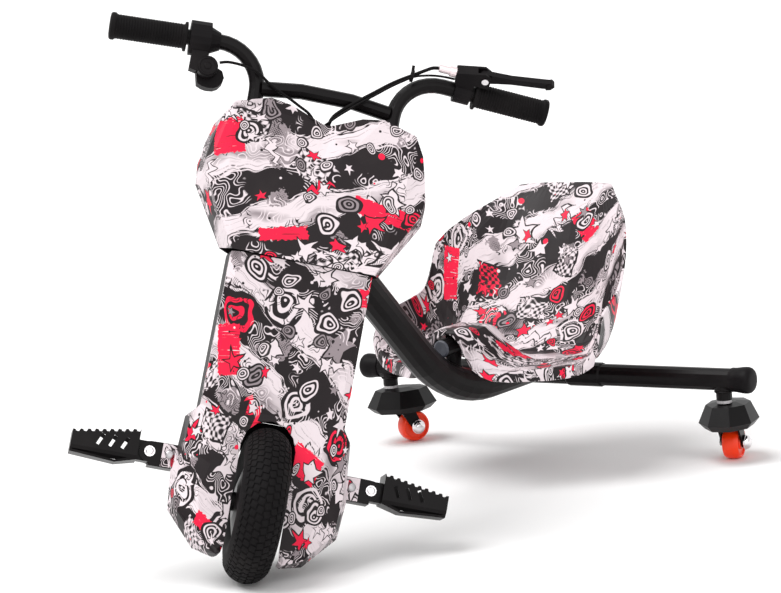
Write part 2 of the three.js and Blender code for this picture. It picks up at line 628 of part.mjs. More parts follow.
// Bucket shell through the seat's rows, with a nose over the rail and a pan that is pressed level
function seatShell() {
  const size = new THREE.Vector3(seat.half, seat.length, seat.height);
  const foot = new THREE.Vector3(0, seat.front, seat.foot);
  const place = (share) => new THREE.Vector3(...share).multiply(size).add(foot);
  const half = seatShares.map((row) => row.map(place));
  const whole = half.map((row) => [...row.slice(1).reverse().map(twin), ...row]);
  const rows = crossed(crossed(whole.map(smoothed)).map(smoothed));
  rows.slice(2).flat().forEach((point) => {
    if (Math.abs(point.z - seat.level) < seat.flatWithin) point.z = seat.level;
  });
  return gridSheet(rows, seat.wall);
}

function twin(point) {
  return point.clone().multiply(new THREE.Vector3(-1, 1, 1));
}

// Saddle plate under the seat's nose with two cheeks that hang beside the rail
function seatBracket() {
  const low = rail.height + railRadius + gap;
  const high = seat.foot + seatShares[2][0][2] * seat.height - seat.wall - bracket.padClear;
  const inner = railRadius + gap;
  const top = box(
    new THREE.Vector3(-bracket.half, bracket.from, low),
    new THREE.Vector3(bracket.half, bracket.to, high),
  );
  const foot = rail.height - bracket.drop;
  const cheekAt = (x) => box(
    new THREE.Vector3(x, bracket.from, foot),
    new THREE.Vector3(x + bracket.cheek, bracket.to, high),
  );
  const reach = inner + bracket.cheek + overrun;
  const hole = rod(clampBolt.radius + gap, boltPoint(-reach), boltPoint(reach));
  return cut(join(top, cheekAt(inner), cheekAt(-inner - bracket.cheek)), hole);
}

function boltPoint(x) {
  return new THREE.Vector3(x, bracket.boltY, rail.height - bracket.drop + clampBolt.rise);
}

function seatClampBolt() {
  const face = railRadius + bracket.cheek + 2 * gap;
  const shank = rod(clampBolt.radius, boltPoint(-face - clampBolt.headHeight), boltPoint(face));
  const capAt = (from, to) => rod(clampBolt.headRadius, boltPoint(from), boltPoint(to), sides.nut);
  return join(shank, capAt(-face - clampBolt.headHeight, -face), capAt(face, face + clampBolt.headHeight));
}

function casterSocket() {
  const { socketRadius, socketLow, stemRadius, filletRadius, filletDrop } = caster;
  const top = axleTube.height;
  const under = top - axleRadius;
  const bore = stemRadius + gap;
  const profile = [[bore, socketLow], [socketRadius, socketLow], [socketRadius, under - filletDrop],
    [filletRadius, under + filletDrop], [filletRadius, top], [bore, top], [bore, socketLow]];
  return cut(turned(profile, new THREE.Vector3(0, 0, 0), zUnit),
      axleRod(axleRadius + gap, filletRadius + overrun));
}

function casterBearing() {
  const profile = ringProfile(caster.stemRadius + gap, bearing.radius, hood.crown + gap,
      caster.socketLow - gap);
  return turned(profile, new THREE.Vector3(0, 0, 0), zUnit);
}

function forkPlateTop() {
  return hood.top - hood.wall - gap;
}

// Caster fork: stem, round plate and two cheeks down to the trailing axle; the caster trails to +Y
function casterForkSolid() {
  const { plateRadius, plate: thick, cheek, cheekGap, bossRadius, backShare, bossDeg,
      bossSteps } = casterFork;
  const top = forkPlateTop();
  const stem = rod(caster.stemRadius, new THREE.Vector3(0, 0, top - thick),
      new THREE.Vector3(0, 0, caster.stemTop));
  const disc = rod(plateRadius, new THREE.Vector3(0, 0, top - thick), new THREE.Vector3(0, 0, top),
      sides.tube);
  const outline = [[-plateRadius * backShare, top], [-plateRadius * backShare, top - thick]];
  for (let i = 0; i <= bossSteps; i += 1) {
    const angle = THREE.MathUtils.degToRad(bossDeg + (i * bossDeg) / bossSteps);
    outline.push([caster.trail + bossRadius * Math.cos(angle),
        casterWheel.radius + bossRadius * Math.sin(angle)]);
  }
  outline.push([plateRadius, top - thick], [plateRadius, top]);
  const inner = casterWheel.half + cheekGap;
  const cheeks = [inner, -inner - cheek].map((x) => plate(outline, x, x + cheek, "yz"));
  const bridge = box(
    new THREE.Vector3(-inner - cheek, -plateRadius * backShare, top - thick),
    new THREE.Vector3(inner + cheek, plateRadius, top),
  );
  const hole = casterAxleRod(casterAxle.radius + gap, -inner - cheek - overrun, inner + cheek + overrun);
  return cut(join(stem, disc, bridge, ...cheeks), hole);
}

function casterAxlePoint(x) {
  return new THREE.Vector3(x, caster.trail, casterWheel.radius);
}

function casterAxleRod(radius, from, to, count = sides.bolt) {
  return rod(radius, casterAxlePoint(from), casterAxlePoint(to), count);
}

function cheekFace() {
  return casterWheel.half + casterFork.cheekGap + casterFork.cheek + gap;
}

// Faceted hood, longer than wide, that reaches back over the wheel
function casterHood() {
  const { crown, top, waist, foot, crownHalf, topHalf, waistHalf, footHalf, wall, lengthShare,
      setBack } = hood;
  const roof = top - wall;
  const profile = [[0, roof], [topHalf - wall, roof], [waistHalf - wall, waist], [footHalf - wall, foot],
    [footHalf, foot], [waistHalf, waist], [topHalf, top], [crownHalf, crown], [0, crown]];
  const cover = turned(profile, new THREE.Vector3(0, 0, 0), zUnit, sides.hood);
  cover.scale(1, lengthShare, 1).translate(0, setBack, 0);
  const hole = rod(caster.stemRadius + gap, new THREE.Vector3(0, 0, foot),
      new THREE.Vector3(0, 0, caster.socketLow));
  return cut(cover, hole);
}

function casterWheelSolid() {
  const { radius, half, treadHalf, shoulderDrop, hubRadius, hubRecess } = casterWheel;
  const bore = casterAxle.radius + gap;
  const edge = radius - shoulderDrop;
  const profile = [[bore, -half], [hubRadius, -half], [hubRadius, hubRecess - half],
    [edge - shoulderDrop, hubRecess - half], [edge, -half], [radius, -treadHalf], [radius, treadHalf],
    [edge, half],
    [edge - shoulderDrop, half - hubRecess],
    [hubRadius, half - hubRecess], [hubRadius, half], [bore, half], [bore, -half]];
  return turned(profile, casterAxlePoint(0), xUnit, sides.caster);
}

function casterAxleSolid() {
  const face = cheekFace();
  const tip = face + casterAxle.nutDepth - casterAxle.nutLand - gap;
  return join(
    casterAxleRod(casterAxle.radius, -face - casterAxle.headHeight, tip),
    casterAxleRod(casterAxle.headRadius, -face - casterAxle.headHeight, -face, sides.nut),
  );
}

function casterNut() {
  const { radius, nutRadius, nutDepth, nutLand } = casterAxle;
  const face = cheekFace();
  const bore = radius + gap;
  const end = face + nutDepth;
  const profile = [[bore, face], [nutRadius, face], [nutRadius, end - nutLand], [nutRadius - nutLand, end],
      [0, end],
    [0, end - nutLand], [bore, end - nutLand], [bore, face]];
  return turned(profile, casterAxlePoint(0), xUnit, sides.bolt);
}

function tyreSolid() {
  const tubeR = tyre.width / 2;
  const profile = [[tyre.beadRadius, -tyre.beadHalf]];
  for (let angle = -tyre.arcDeg; angle <= tyre.arcDeg; angle += tyre.arcStepDeg) {
    const turn = THREE.MathUtils.degToRad(angle);
    profile.push([tyre.radius - tubeR + tubeR * Math.cos(turn), tubeR * Math.sin(turn)]);
  }
  profile.push([tyre.beadRadius, tyre.beadHalf], [tyre.beadRadius, -tyre.beadHalf]);
  return turned(profile, wheelCentre(0), xUnit, sides.wheel);
}

function wheelCentre(x) {
  return at(x, wheelPlace.forward, -wheelPlace.drop);
}

function hubMotor() {
  const { shellHalf, faceHalf, domeHalf, bossHalf, faceRadius, domeRadius, bossRadius } = hub;
  const rim = tyre.beadRadius - gap;
  const side = [[rim, shellHalf], [faceRadius, shellHalf], [faceRadius, faceHalf], [domeRadius, domeHalf],
    [bossRadius, domeHalf], [bossRadius, bossHalf], [frontAxle.radius + gap, bossHalf]];
  const other = side.map(([radius, x]) => [radius, -x]).reverse();
  return turned([...other, ...side, other[0]], wheelCentre(0), xUnit, sides.wheel);
}

function wheelAxle() {
  const half = fork.dropoutInner + fork.dropout + frontAxle.beyond;
  return rod(frontAxle.radius, wheelCentre(-half), wheelCentre(half));
}

function axleNut() {
  const from = fork.dropoutInner + fork.dropout + gap;
  const to = from + frontAxle.nutWidth;
  const hex = rod(frontAxle.nutRadius, wheelCentre(from), wheelCentre(to), sides.nut);
  return cut(hex, rod(frontAxle.radius + gap, wheelCentre(from - overrun), wheelCentre(to + overrun)));
}

// Steerer, crown, legs, dropouts and peg lugs, welded into one piece
function forkSolid() {
  const { crownHalf, crownBackHalf, crownBack, crownFront, crownLow, crownHigh, legX, legN,
      legRadius } = fork;
  const sideN = legN - legRadius;
  const crownOutline = [[-crownBackHalf, crownBack], [crownBackHalf, crownBack], [crownHalf, sideN],
    [crownHalf, crownFront], [-crownHalf, crownFront], [-crownHalf, sideN]];
  const crown = levelPlate(crownOutline, crownLow, crownHigh);
  const column = rod(steerer.radius, at(0, 0, crownLow), at(0, 0, steerer.top), sides.tube);
  const legs = [legX, -legX].map((x) => {
    return rod(legRadius, at(x, legN, crownLow + overrun), at(x, legN, pegT - fork.legBelow), sides.tube);
  });
  const hole = rod(frontAxle.radius + gap, wheelCentre(-crownHalf), wheelCentre(crownHalf));
  return cut(join(column, crown, ...legs, ...dropouts(), ...pegLugs()), hole, ...fixHoles());
}

// Plate level in the steered frame, from an outline in x and n
function levelPlate(outline, low, high) {
  return plate(outline.map(([x, n]) => [x, -n]).reverse(), low, high, "level");
}

function dropouts() {
  const { dropoutInner, dropout, dropoutAbove, dropoutRadius, roundSteps } = fork;
  const dropoutTop = pegT + dropoutAbove;
  const centreY = -wheelPlace.forward;
  const outline = [[centreY - dropoutRadius, dropoutTop], [centreY - dropoutRadius, -wheelPlace.drop]];
  for (let i = 1; i < roundSteps; i += 1) {
    const angle = Math.PI * (1 + i / roundSteps);
    outline.push([centreY + dropoutRadius * Math.cos(angle),
        -wheelPlace.drop + dropoutRadius * Math.sin(angle)]);
  }
  outline.push([centreY + dropoutRadius, -wheelPlace.drop], [-fork.legN + fork.legRadius, dropoutTop]);
  return [dropoutInner, -dropoutInner - dropout].map((x) => plate(outline, x, x + dropout, "yz"));
}

function pegLugs() {
  const low = pegT - lug.below;
  const high = pegT + lug.above;
  return [1, -1].flatMap((side) => [
    box(at(side * fork.legX, -lug.depth, low), at(side * lug.half, lug.depth, high)),
    box(at(side * fork.legX, -lug.depth, low), at(side * lug.blockHalf, lug.blockFront, high)),
  ]);
}

function fixHoles() {
  const reach = peg.half + overrun;
  return [1, -1].map((side) => {
    const x = side * pegBracket.fixX;
    return rod(pegBracket.fixRadius, at(x, -reach, pegT), at(x, reach, pegT));
  });
}

function upperYoke() {
  const { low, high, half, back, front, backHalf, sideBack } = yoke;
  const outline = [[-backHalf, back], [backHalf, back], [half, sideBack], [half, front], [-half, front],
      [-half, sideBack]];
  const holes = [rod(steerer.radius + gap, at(0, 0, low - overrun), at(0, 0, high + overrun), sides.tube)];
  [1, -1].forEach((side) => {
    const foot = at(side * bar.footX, bar.forward, low - overrun);
    holes.push(rod(barRadius + 2 * gap, foot, at(side * bar.footX, bar.forward, high + overrun), sides.thin));
  });
  return cut(levelPlate(outline, low, high), ...holes);
}

function barCorners() {
  const { endX, endT, cornerX, cornerT, footX, footT, forward } = bar;
  return [at(endX, forward, endT), at(cornerX, forward, cornerT), at(footX, forward, footT)];
}

function handlebarSolid() {
  const half = tube(rounded(barCorners(), bar.bendRadius, bar.bendSteps), barRadius, sides.bar);
  const { crossX, crossEndT, crossMidX, crossMidT, crossForward } = bar;
  const cross = [-crossX, -crossMidX, 0, crossMidX, crossX].map((x) => {
    return at(x, crossForward, Math.abs(x) === crossX ? crossEndT : crossMidT);
  });
  return join(half, mirrored(half), tube(cross, barRadius, sides.bar));
}

// Direction of the bar's outer run and a point on it, measured along x
function barPoint(x) {
  const share = (x - bar.cornerX) / (bar.endX - bar.cornerX);
  return at(x, bar.forward, bar.cornerT + share * (bar.endT - bar.cornerT));
}

function barDirection() {
  return barPoint(bar.endX).sub(barPoint(bar.cornerX)).normalize();
}

function gripSolid() {
  const { length, cap, radius, endRadius, endLength, edge, edgeIn, flangeRadius, flange } = grip;
  const bore = barRadius + gap;
  const start = cap - length;
  const profile = [[bore, start], [flangeRadius, start], [flangeRadius, start + flange],
      [radius, start + flange],
    [radius, cap - endLength], [endRadius, cap - endLength], [endRadius, cap - edge],
    [endRadius - edgeIn, cap],
    [0, cap], [0, gap], [bore, gap], [bore, start]];
  return turned(profile, barPoint(bar.endX), barDirection(), sides.tube);
}

// Thumb throttle: a clamp round the bar and a hub below it, drawn for the rider's right side
function throttleHousing() {
  const { clampFrom, clampTo, clampRadius, hubX, hubT, hubRadius, back, front, webTop } = throttle;
  const outerX = -hubX - throttle.cheekOut;
  const right = (x) => barPoint(x).multiply(new THREE.Vector3(-1, 1, 1));
  const ring = rod(clampRadius, right(clampFrom), right(clampTo), sides.tube);
  const hubDisc = rod(hubRadius, at(-hubX, back, hubT), at(-hubX, front, hubT), sides.tube);
  const outline = [[-clampTo, webTop], [outerX, hubT + throttle.cheekTop], [outerX, hubT - throttle.cheekLow],
    [-hubX - hubRadius, hubT - hubRadius * (2 / 3)], [-hubX, hubT], [-clampFrom, hubT + hubRadius],
    [-clampFrom, webTop]];
  const web = plate(outline, back, front, "xt");
  const bore = rod(barRadius + gap, right(throttle.coneFrom - overrun), right(clampTo + overrun), sides.bar);
  const pinEnds = [back - overrun, front - overrun].map((n) => at(-hubX, n, hubT));
  const pinHole = rod(throttle.hubBoreRadius, ...pinEnds);
  return cut(join(ring, throttleCone(), hubDisc, web), bore, pinHole);
}

// Tapered collar between the throttle's clamp and the bend of the bar
function throttleCone() {
  const { clampFrom, coneFrom, coneRadius, coneRoot } = throttle;
  const start = barPoint(coneFrom).multiply(new THREE.Vector3(-1, 1, 1));
  const end = barPoint(clampFrom + overrun).multiply(new THREE.Vector3(-1, 1, 1));
  const length = end.distanceTo(start);
  return turned([[0, 0], [coneRadius, 0], [coneRoot, length], [0, length]], start, end.sub(start),
      sides.tube);
}

function throttleLever() {
  const { hubX, hubT, hubRadius, back, front, pinRadius, leverBack, paddleRadius } = throttle;
  const behind = back - gap;
  const hubDisc = rod(hubRadius, at(-hubX, leverBack, hubT), at(-hubX, behind, hubT), sides.tube);
  const pin = rod(pinRadius, at(-hubX, leverBack, hubT), at(-hubX, front - overrun - gap, hubT));
  const outline = [[-hubX - hubRadius, hubT]];
  paddleShares.forEach(([turn, share]) => {
    const radius = share * paddleRadius;
    outline.push([-hubX + radius * Math.cos(Math.PI * turn), hubT + radius * Math.sin(Math.PI * turn)]);
  });
  outline.push([-hubX + hubRadius / 2, hubT + hubRadius / 2]);
  return join(hubDisc, pin, plate(outline, leverBack, behind, "xt"));
}

// Brake frame: far points forwards and up from the bar, high points square to that
function brakePoint(x, far, high) {
  const tilt = THREE.MathUtils.degToRad(brake.tiltDeg);
  const point = barPoint(x);
  point.y -= far * Math.cos(tilt) - high * Math.sin(tilt);
  point.z += far * Math.sin(tilt) + high * Math.cos(tilt);
  return point;
}

// Plate of an outline in x and far, between two heights of the brake frame
function brakePlate(outline, low, high) {
  const geometry = plate(outline, low, high, "level");
  const places = geometry.attributes.position;
  for (let i = 0; i < places.count; i += 1) {
    const point = brakePoint(places.getX(i), places.getY(i), places.getZ(i));
    places.setXYZ(i, point.x, point.y, point.z);
  }
  return geometry;
}

function brakeBracket() {
  const { clampFrom, clampTo, clampRadius, bodyFrom, bodyTo, bodyNear, bodyFar, bodyHalf } = brake;
  const { slotHalf, slotFrom, slotNear, step } = brake;
  const ring = rod(clampRadius, barPoint(clampFrom), barPoint(clampTo), sides.tube);
  const neckOutline = [[clampFrom, 0], [clampTo, 0], [clampTo, bodyFar / 2], [clampFrom, bodyFar / 2]];
  const neck = brakePlate(neckOutline, -bodyHalf, bodyHalf);
  const bodyOutline = [[bodyFrom, bodyNear + bodyHalf / 2], [clampFrom, bodyNear], [clampTo, bodyNear],
    [clampTo + step, slotNear], [bodyTo, slotNear], [bodyTo, bodyFar - bodyHalf / 2],
    [bodyTo - bodyHalf, bodyFar],
    [bodyFrom, bodyFar - bodyHalf]];
  const body = brakePlate(bodyOutline, -bodyHalf, bodyHalf);
  const bore = rod(barRadius + gap, barPoint(clampFrom - overrun), barPoint(clampTo + overrun), sides.bar);
  const slotOutline = [[slotFrom, slotNear - overrun], [bodyTo + overrun, slotNear - overrun],
    [bodyTo + overrun, bodyFar + overrun], [slotFrom, bodyFar + overrun]];
  const slot = brakePlate(slotOutline, -slotHalf, slotHalf);
  return cut(join(ring, neck, body), bore, slot, brakePin(brake.pinRadius + gap, brake.pinHalf + overrun));
}

function brakePin(radius, half) {
  return rod(radius, brakePoint(brake.pivotX, brake.pivotFar, -half),
      brakePoint(brake.pivotX, brake.pivotFar, half));
}

function brakeLeverSolid() {
  const { pivotX, pivotFar, bossRadius, bladeHalf, tipHalf, bladeNear, bladeStart, bladeMid,
      bladeMidFar } = brake;
  const { tipX, tipFar, bladeWidth, endWidth } = brake;
  const boss = [];
  for (let i = 0; i < sides.thin; i += 1) {
    const angle = (2 * Math.PI * i) / sides.thin;
    boss.push([pivotX + bossRadius * Math.cos(angle), pivotFar + bossRadius * Math.sin(angle)]);
  }
  const blade = [[pivotX, pivotFar - bossRadius], [bladeStart, bladeNear - bossRadius / 2],
    [bladeMid, bladeMidFar - bladeWidth], [tipX - endWidth, tipFar - bladeWidth],
    [tipX, tipFar - endWidth / 2],
    [tipX + endWidth / 3, tipFar], [tipX, tipFar + endWidth / 4], [bladeMid, bladeMidFar],
    [bladeStart, bladeNear + bossRadius], [pivotX, pivotFar + bossRadius]];
  const tip = [[tipX - endWidth / 2, tipFar - bladeWidth], [tipX, tipFar - endWidth / 2],
      [tipX + endWidth / 3, tipFar],
    [tipX, tipFar + endWidth / 4], [tipX - endWidth / 2, tipFar]];
  const whole = join(
    brakePlate(boss, -bladeHalf, bladeHalf),
    brakePlate(blade, -bladeHalf, bladeHalf),
    brakePlate(tip, -tipHalf, tipHalf),
  );
  return cut(whole, brakePin(brake.pinRadius + gap, brake.pinHalf + overrun));
}

function brakePivotPin() {
  const ends = [[-brake.pinHalf, -brake.bodyHalf - gap], [brake.bodyHalf + gap, brake.pinHalf]];
  const heads = ends.map(([low, high]) => {
    const { pivotX, pivotFar, pinHeadRadius } = brake;
    return rod(pinHeadRadius, brakePoint(pivotX, pivotFar, low), brakePoint(pivotX, pivotFar, high));
  });
  return join(brakePin(brake.pinRadius, brake.pinHalf), ...heads);
}

function brakeAdjuster() {
  const { from, to, far, radius, collarRadius, collar, boreRadius } = adjuster;
  const start = brakePoint(from, far, 0);
  const end = brakePoint(to, far, 0);
  const length = end.distanceTo(start);
  const profile = [[boreRadius, 0], [radius, 0], [radius, length - collar], [collarRadius, length - collar],
    [collarRadius, length], [boreRadius, length], [boreRadius, 0]];
  return turned(profile, start, end.clone().sub(start), sides.bolt);
}

function cableTie() {
  const centre = at(tie.x, tie.forward, tie.high);
  const reach = 2 * cable.radius + tie.wall + 2 * gap;
  const along = (distance) => centre.clone().addScaledVector(barDirection(), distance);
  const outer = rod(reach + tie.wall, along(-tie.width / 2), along(tie.width / 2));
  const hole = rod(reach, along(-overrun), along(overrun));
  const tail = box(
    centre.clone().add(new THREE.Vector3(-tie.width / 2, -tie.wall, reach + tie.wall / 2)),
    centre.clone().add(new THREE.Vector3(tie.width / 2, tie.wall, reach + tie.tail)),
  );
  return cut(join(outer, tail), hole);
}

function upperShield() {
  const points = placed(shieldShares, [shield.half, shield.front, shield.top]);
  return sheet(frontPoints(points), shieldFaces, shield.wall);
}

function frontPoints(points) {
  return Object.fromEntries(Object.entries(points).map(([name, point]) => [name, at(...point)]));
}

function frontPanel() {
  const points = placed(panelShares, [panel.half, panel.front, panelDrop]);
  const skin = sheet(frontPoints(points), panelFaces, panel.wall);
  const face = bracketFace() + gap;
  const tabs = [1, -1].flatMap((side) => [
    box(at(side * tab.root, face, pegT - tab.below),
        at(side * tab.reach, face + tab.plate, pegT + tab.above)),
    box(
      at(side * (tab.bridgeOut - tab.plate), face, pegT - tab.bridgeHalf),
      at(side * tab.bridgeOut, points.rimWide[1] + overrun, pegT + tab.bridgeHalf),
    ),
  ]);
  return cut(join(skin, ...tabs), ...fixHoles());
}

// Black rear shell: tapered box behind the panel, a roof with leg holes and the plate behind the shield
function backCover() {
  const { topHalf, topT, topBack, bottomHalf, bottomBack, wall, plateBack } = shell;
  const rimDepth = (share) => share * panel.front - gap;
  const outerPoints = frontPoints({
    topMid: [0, topBack, topT],
    topCorner: [topHalf, topBack, topT],
    bottomMid: [0, bottomBack, shellBottom],
    bottomCorner: [bottomHalf, bottomBack, shellBottom],
    roofMid: [0, plateBack, topT],
    roofCorner: [topHalf, plateBack, topT],
    rimTop: [topHalf, rimDepth(panelShares.topRim[1]), panelShares.topRim[2] * panelDrop],
    rimBottom: [bottomHalf, rimDepth(panelShares.neckRim[1]), shellBottom],
  });
  const faces = [
    ["topMid", "topCorner", "bottomCorner", "bottomMid"],
    ["topCorner", "topMid", "roofMid", "roofCorner"],
    ["bottomCorner", "topCorner", "roofCorner", "rimTop", "rimBottom"],
  ];
  const legs = [fork.legX, -fork.legX].map((x) => {
    const ends = [topT - overrun, topT + overrun].map((t) => at(x, fork.legN, t));
    return rod(fork.legRadius + shell.legClear, ...ends, sides.tube);
  });
  const openings = [
    rod(button.radius + gap, at(button.x, 0, button.t), at(button.x, shield.front, button.t), sides.tube),
    rod(port.holeRadius, at(port.x, 0, port.t), at(port.x, shield.front, port.t), sides.tube),
  ];
  const housing = cut(sheet(outerPoints, faces, wall), ...legs);
  return cut(join(housing, rearPlate(), batteryShelf()), ...openings);
}

function rearPlate() {
  const order = ["waistBack", "widestBack", "hipBack", "flankBack", "shoulderBack", "cornerBack",
      "topOuterBack"];
  const points = placed(shieldShares, [shield.half, shield.front, shield.top]);
  const right = order.map((name) => [points[name][0] - gap, points[name][2] - gap]);
  const foot = [shell.topHalf, shell.topT - shell.plateDrop];
  const middle = [points.topInnerBack[0], points.notch[2]];
  const left = [foot, ...right, middle].map(([x, t]) => [-x, t]).reverse();
  return plate([foot, ...right, middle, ...left], shell.plateBack, shell.plateFront, "xt");
}

// Shelf that the battery stands on, from the rear shell's back wall forwards
function batteryShelf() {
  const high = battery.low - gap;
  return box(at(-shelf.half, shell.bottomBack + shell.wall, high - shelf.thick),
      at(shelf.half, shelf.front, high));
}

// Block with its four long edges cut off
function chamferedBlock(half, back, front, low, high, chamfer) {
  const outline = [[-half + chamfer, back], [half - chamfer, back], [half, back + chamfer],
      [half, front - chamfer],
    [half - chamfer, front], [-half + chamfer, front], [-half, front - chamfer], [-half, back + chamfer]];
  return levelPlate(outline, low, high);
}

function batterySolid() {
  return chamferedBlock(battery.half, battery.back, battery.front, battery.low, battery.high,
      battery.chamfer);
}

function controllerSolid() {
  const low = battery.high + gap;
  return chamferedBlock(controller.half, controller.back, controller.front, low, low + controller.height,
      controller.chamfer);
}

function powerButton() {
  const { x, t, radius, proud, edge, travel } = button;
  const face = shell.plateBack - proud;
  const end = shell.plateFront + travel;
  const profile = [[0, face], [radius - edge, face], [radius, face + edge], [radius, end], [0, end]];
  return turned(profile, at(x, 0, t), at(0, 1, 0), sides.tube);
}

// Rubber flap over the charging port, hinged along its top edge
function chargeCap() {
  const { x, t, flapRadius, flap, hingeRadius, hingeHalf } = port;
  const front = shell.plateBack - gap;
  const disc = rod(flapRadius, at(x, front - flap, t), at(x, front, t), sides.tube);
  const hingeAt = (side) => at(x + side * hingeHalf, front - hingeRadius, t + flapRadius);
  return join(disc, rod(hingeRadius, hingeAt(-1), hingeAt(1), sides.cord));
}

function bracketFace() {
  return lug.depth + gap + pegBracket.plate;
}

// Channel round the fork's lug: front and back plates with rounded ends and a web under the peg's tongue
function pegBracketSolid() {
  const { from, plate: thick, endRadius, high, low, web } = pegBracket;
  const outline = [[from, low], [pegPivot.x, low], ...halfRound(endRadius, 0), [pegPivot.x - endRadius, high],
      [from, high]];
  const face = bracketFace();
  const plates = [plate(outline, face - thick, face, "xt"), plate(outline, -face, thick - face, "xt")];
  const floor = box(at(from, -face, low), at(pegPivot.x, face, low + web));
  const body = cut(join(...plates, floor), pegPin(pegPivot.radius + gap, face + overrun));
  return cut(body.translate(0, 0, pegT), fixHoles()[0]);
}

// Half circle about the pegs' pivot, towards the pegs or turned half round
function halfRound(radius, turn) {
  const outline = [];
  for (let i = 0; i <= pegPivot.roundSteps; i += 1) {
    const angle = Math.PI * (turn + i / pegPivot.roundSteps - 1 / 2);
    outline.push([pegPivot.x + radius * Math.cos(angle), radius * Math.sin(angle)]);
  }
  return outline;
}

function pegPin(radius, reach) {
  return rod(radius, at(pegPivot.x, -reach, 0), at(pegPivot.x, reach, 0));
}

function pegBolt() {
  const face = bracketFace() + gap;
  const { x, headRadius, headHeight, nutRadius, radius } = pegPivot;
  const headDisc = rod(headRadius, at(x, face, 0), at(x, face + headHeight, 0), sides.bolt);
  const nut = rod(nutRadius, at(x, -face - headHeight, 0), at(x, -face, 0), sides.nut);
  return join(pegPin(radius, face + headHeight / 2), headDisc, nut).translate(0, 0, pegT);
}

// Folding peg: a channel open at the top, toothed along its edges, on a tongue between the bracket's plates
function pegSolid() {
  const inside = peg.half - peg.wall;
  const body = plate(pegOutline(), -peg.half, peg.half, "xt");
  const cavity = plate(pegCavity(), -inside, inside, "xt");
  const root = peg.inner + peg.wall;
  const { tongueRadius } = pegPivot;
  const tongueOutline = [...halfRound(tongueRadius, 1), [root, -tongueRadius], [root, tongueRadius]];
  const tongue = plate(tongueOutline, -lug.depth, lug.depth, "xt");
  const channel = cut(body, cavity, ...pegChamfers());
  const whole = cut(join(channel, tongue), ...pegSlots(), pegPin(pegPivot.radius + gap, peg.half));
  return whole.translate(0, 0, pegT);
}

function pegTop(x) {
  return peg.innerTop + ((x - peg.inner) / (peg.outer - peg.inner)) * (peg.outerTop - peg.innerTop);
}

function pegOutline() {
  const outline = [[peg.inner, peg.innerLow], [peg.bulgeX, peg.bulgeLow], [peg.outer, peg.outerLow]];
  const pitch = (peg.outer - peg.inner) / peg.teethCount;
  for (let i = 0; i < peg.teethCount; i += 1) {
    const right = peg.outer - i * pitch;
    const low = pegTop(right) - peg.tooth;
    outline.push([right, pegTop(right)], [right - pitch / 3, pegTop(right)]);
    outline.push([right - pitch / 2, low], [right - (5 * pitch) / 6, low]);
  }
  outline.push([peg.inner, pegTop(peg.inner)]);
  return outline;
}

function pegCavity() {
  const left = peg.inner + peg.wall;
  const right = peg.outer - peg.wall;
  return [[left, peg.innerLow + peg.floor], [peg.bulgeX, peg.bulgeLow + peg.floor],
      [right, peg.outerLow + peg.floor],
    [right, pegTop(right) + overrun], [left, pegTop(left) + overrun]];
}

// Wedges that slant the channel's lower long edges inwards
function pegChamfers() {
  const high = peg.bulgeLow + peg.taperRise;
  const low = peg.bulgeLow - peg.taperUnder;
  return [1, -1].map((side) => {
    const outer = -side * (peg.half + overrun);
    const outline = [[-side * peg.half, high], [-side * (peg.half - peg.taper), low], [outer, low],
        [outer, high]];
    return geometryOf(solid(plate(outline, peg.inner - overrun, peg.outer + overrun, "yz")));
  });
}

function pegSlots() {
  const lean = THREE.MathUtils.degToRad(peg.slotDeg);
  const { slotWidth, slotLength, slotRise, slotFirst, slotPitch, slotCount } = peg;
  const slots = [];
  for (let i = 0; i < slotCount; i += 1) {
    const slot = new THREE.BoxGeometry(slotWidth, 2 * (peg.half + overrun), slotLength);
    slots.push(slot.rotateY(-lean).translate(slotFirst + i * slotPitch, 0, slotRise));
  }
  return slots;
}

const paints = {
  frame: [0x121113, 0.45, 0.6],
  black: [0x17151a, 0.5, 0.1],
  rubber: [0x161417, 0.8, 0],
  print: [0xe3d8db, 0.35, 0],
  orange: [0xff2e00, 0.4, 0],
  steel: [0xb9b6b8, 0.3, 1],
  chrome: [0xe8e4e6, 0.15, 1],
  battery: [0x27406b, 0.5, 0],
  plug: [0x3c3f48, 0.5, 0],
};

function named(name, geometry, paint) {
  const [color, roughness, metalness] = paints[paint];
  const material = new THREE.MeshStandardMaterial({ color, roughness, metalness });
  const mesh = new THREE.Mesh(geometryOf(solid(geometry)), material);
  mesh.name = name;
  return mesh;
}

function pair(name, geometry, paint) {
  return [named(`${name}_left`, geometry, paint), named(`${name}_right`, mirrored(geometry), paint)];
}

// One caster at its side, with its own toe angle at rest
function casterGroup(side, label) {
  const swivel = new THREE.Group();
  swivel.position.set(side * casterSpread, 0, 0);
  const toe = side > 0 ? caster.leftToeDeg : caster.rightToeDeg;
  swivel.rotation.z = THREE.MathUtils.degToRad(toe);
  swivel.add(
    named(`caster_fork_${label}`, casterForkSolid(), "black"),
    named(`caster_shroud_${label}`, casterHood(), "black"),
    named(`caster_bearing_${label}`, casterBearing(), "steel"),
    named(`caster_wheel_${label}`, casterWheelSolid(), "orange"),
    named(`caster_axle_${label}`, casterAxleSolid(), "steel"),
    named(`caster_nut_${label}`, casterNut(), "chrome"),
  );
  return swivel;
}

function rearFrame() {
  const group = new THREE.Group();
  group.add(
    named("main_tube", mainTubeSolid(), "frame"),
    named("rear_axle_tube", rearAxleTube(), "frame"),
    ...pair("axle_end_cap", axleCap(), "frame"),
    named("seat_rail", seatRailSolid(), "frame"),
    named("seat_rail_plug", railPlug(), "plug"),
    named("seat_shell", seatShell(), "print"),
    named("seat_bracket", seatBracket(), "black"),
    named("seat_clamp_bolt", seatClampBolt(), "steel"),
    ...pair("caster_socket", casterSocket().translate(casterSpread, 0, 0), "frame"),
    casterGroup(1, "left"),
    casterGroup(-1, "right"),
  );
  return group;
}

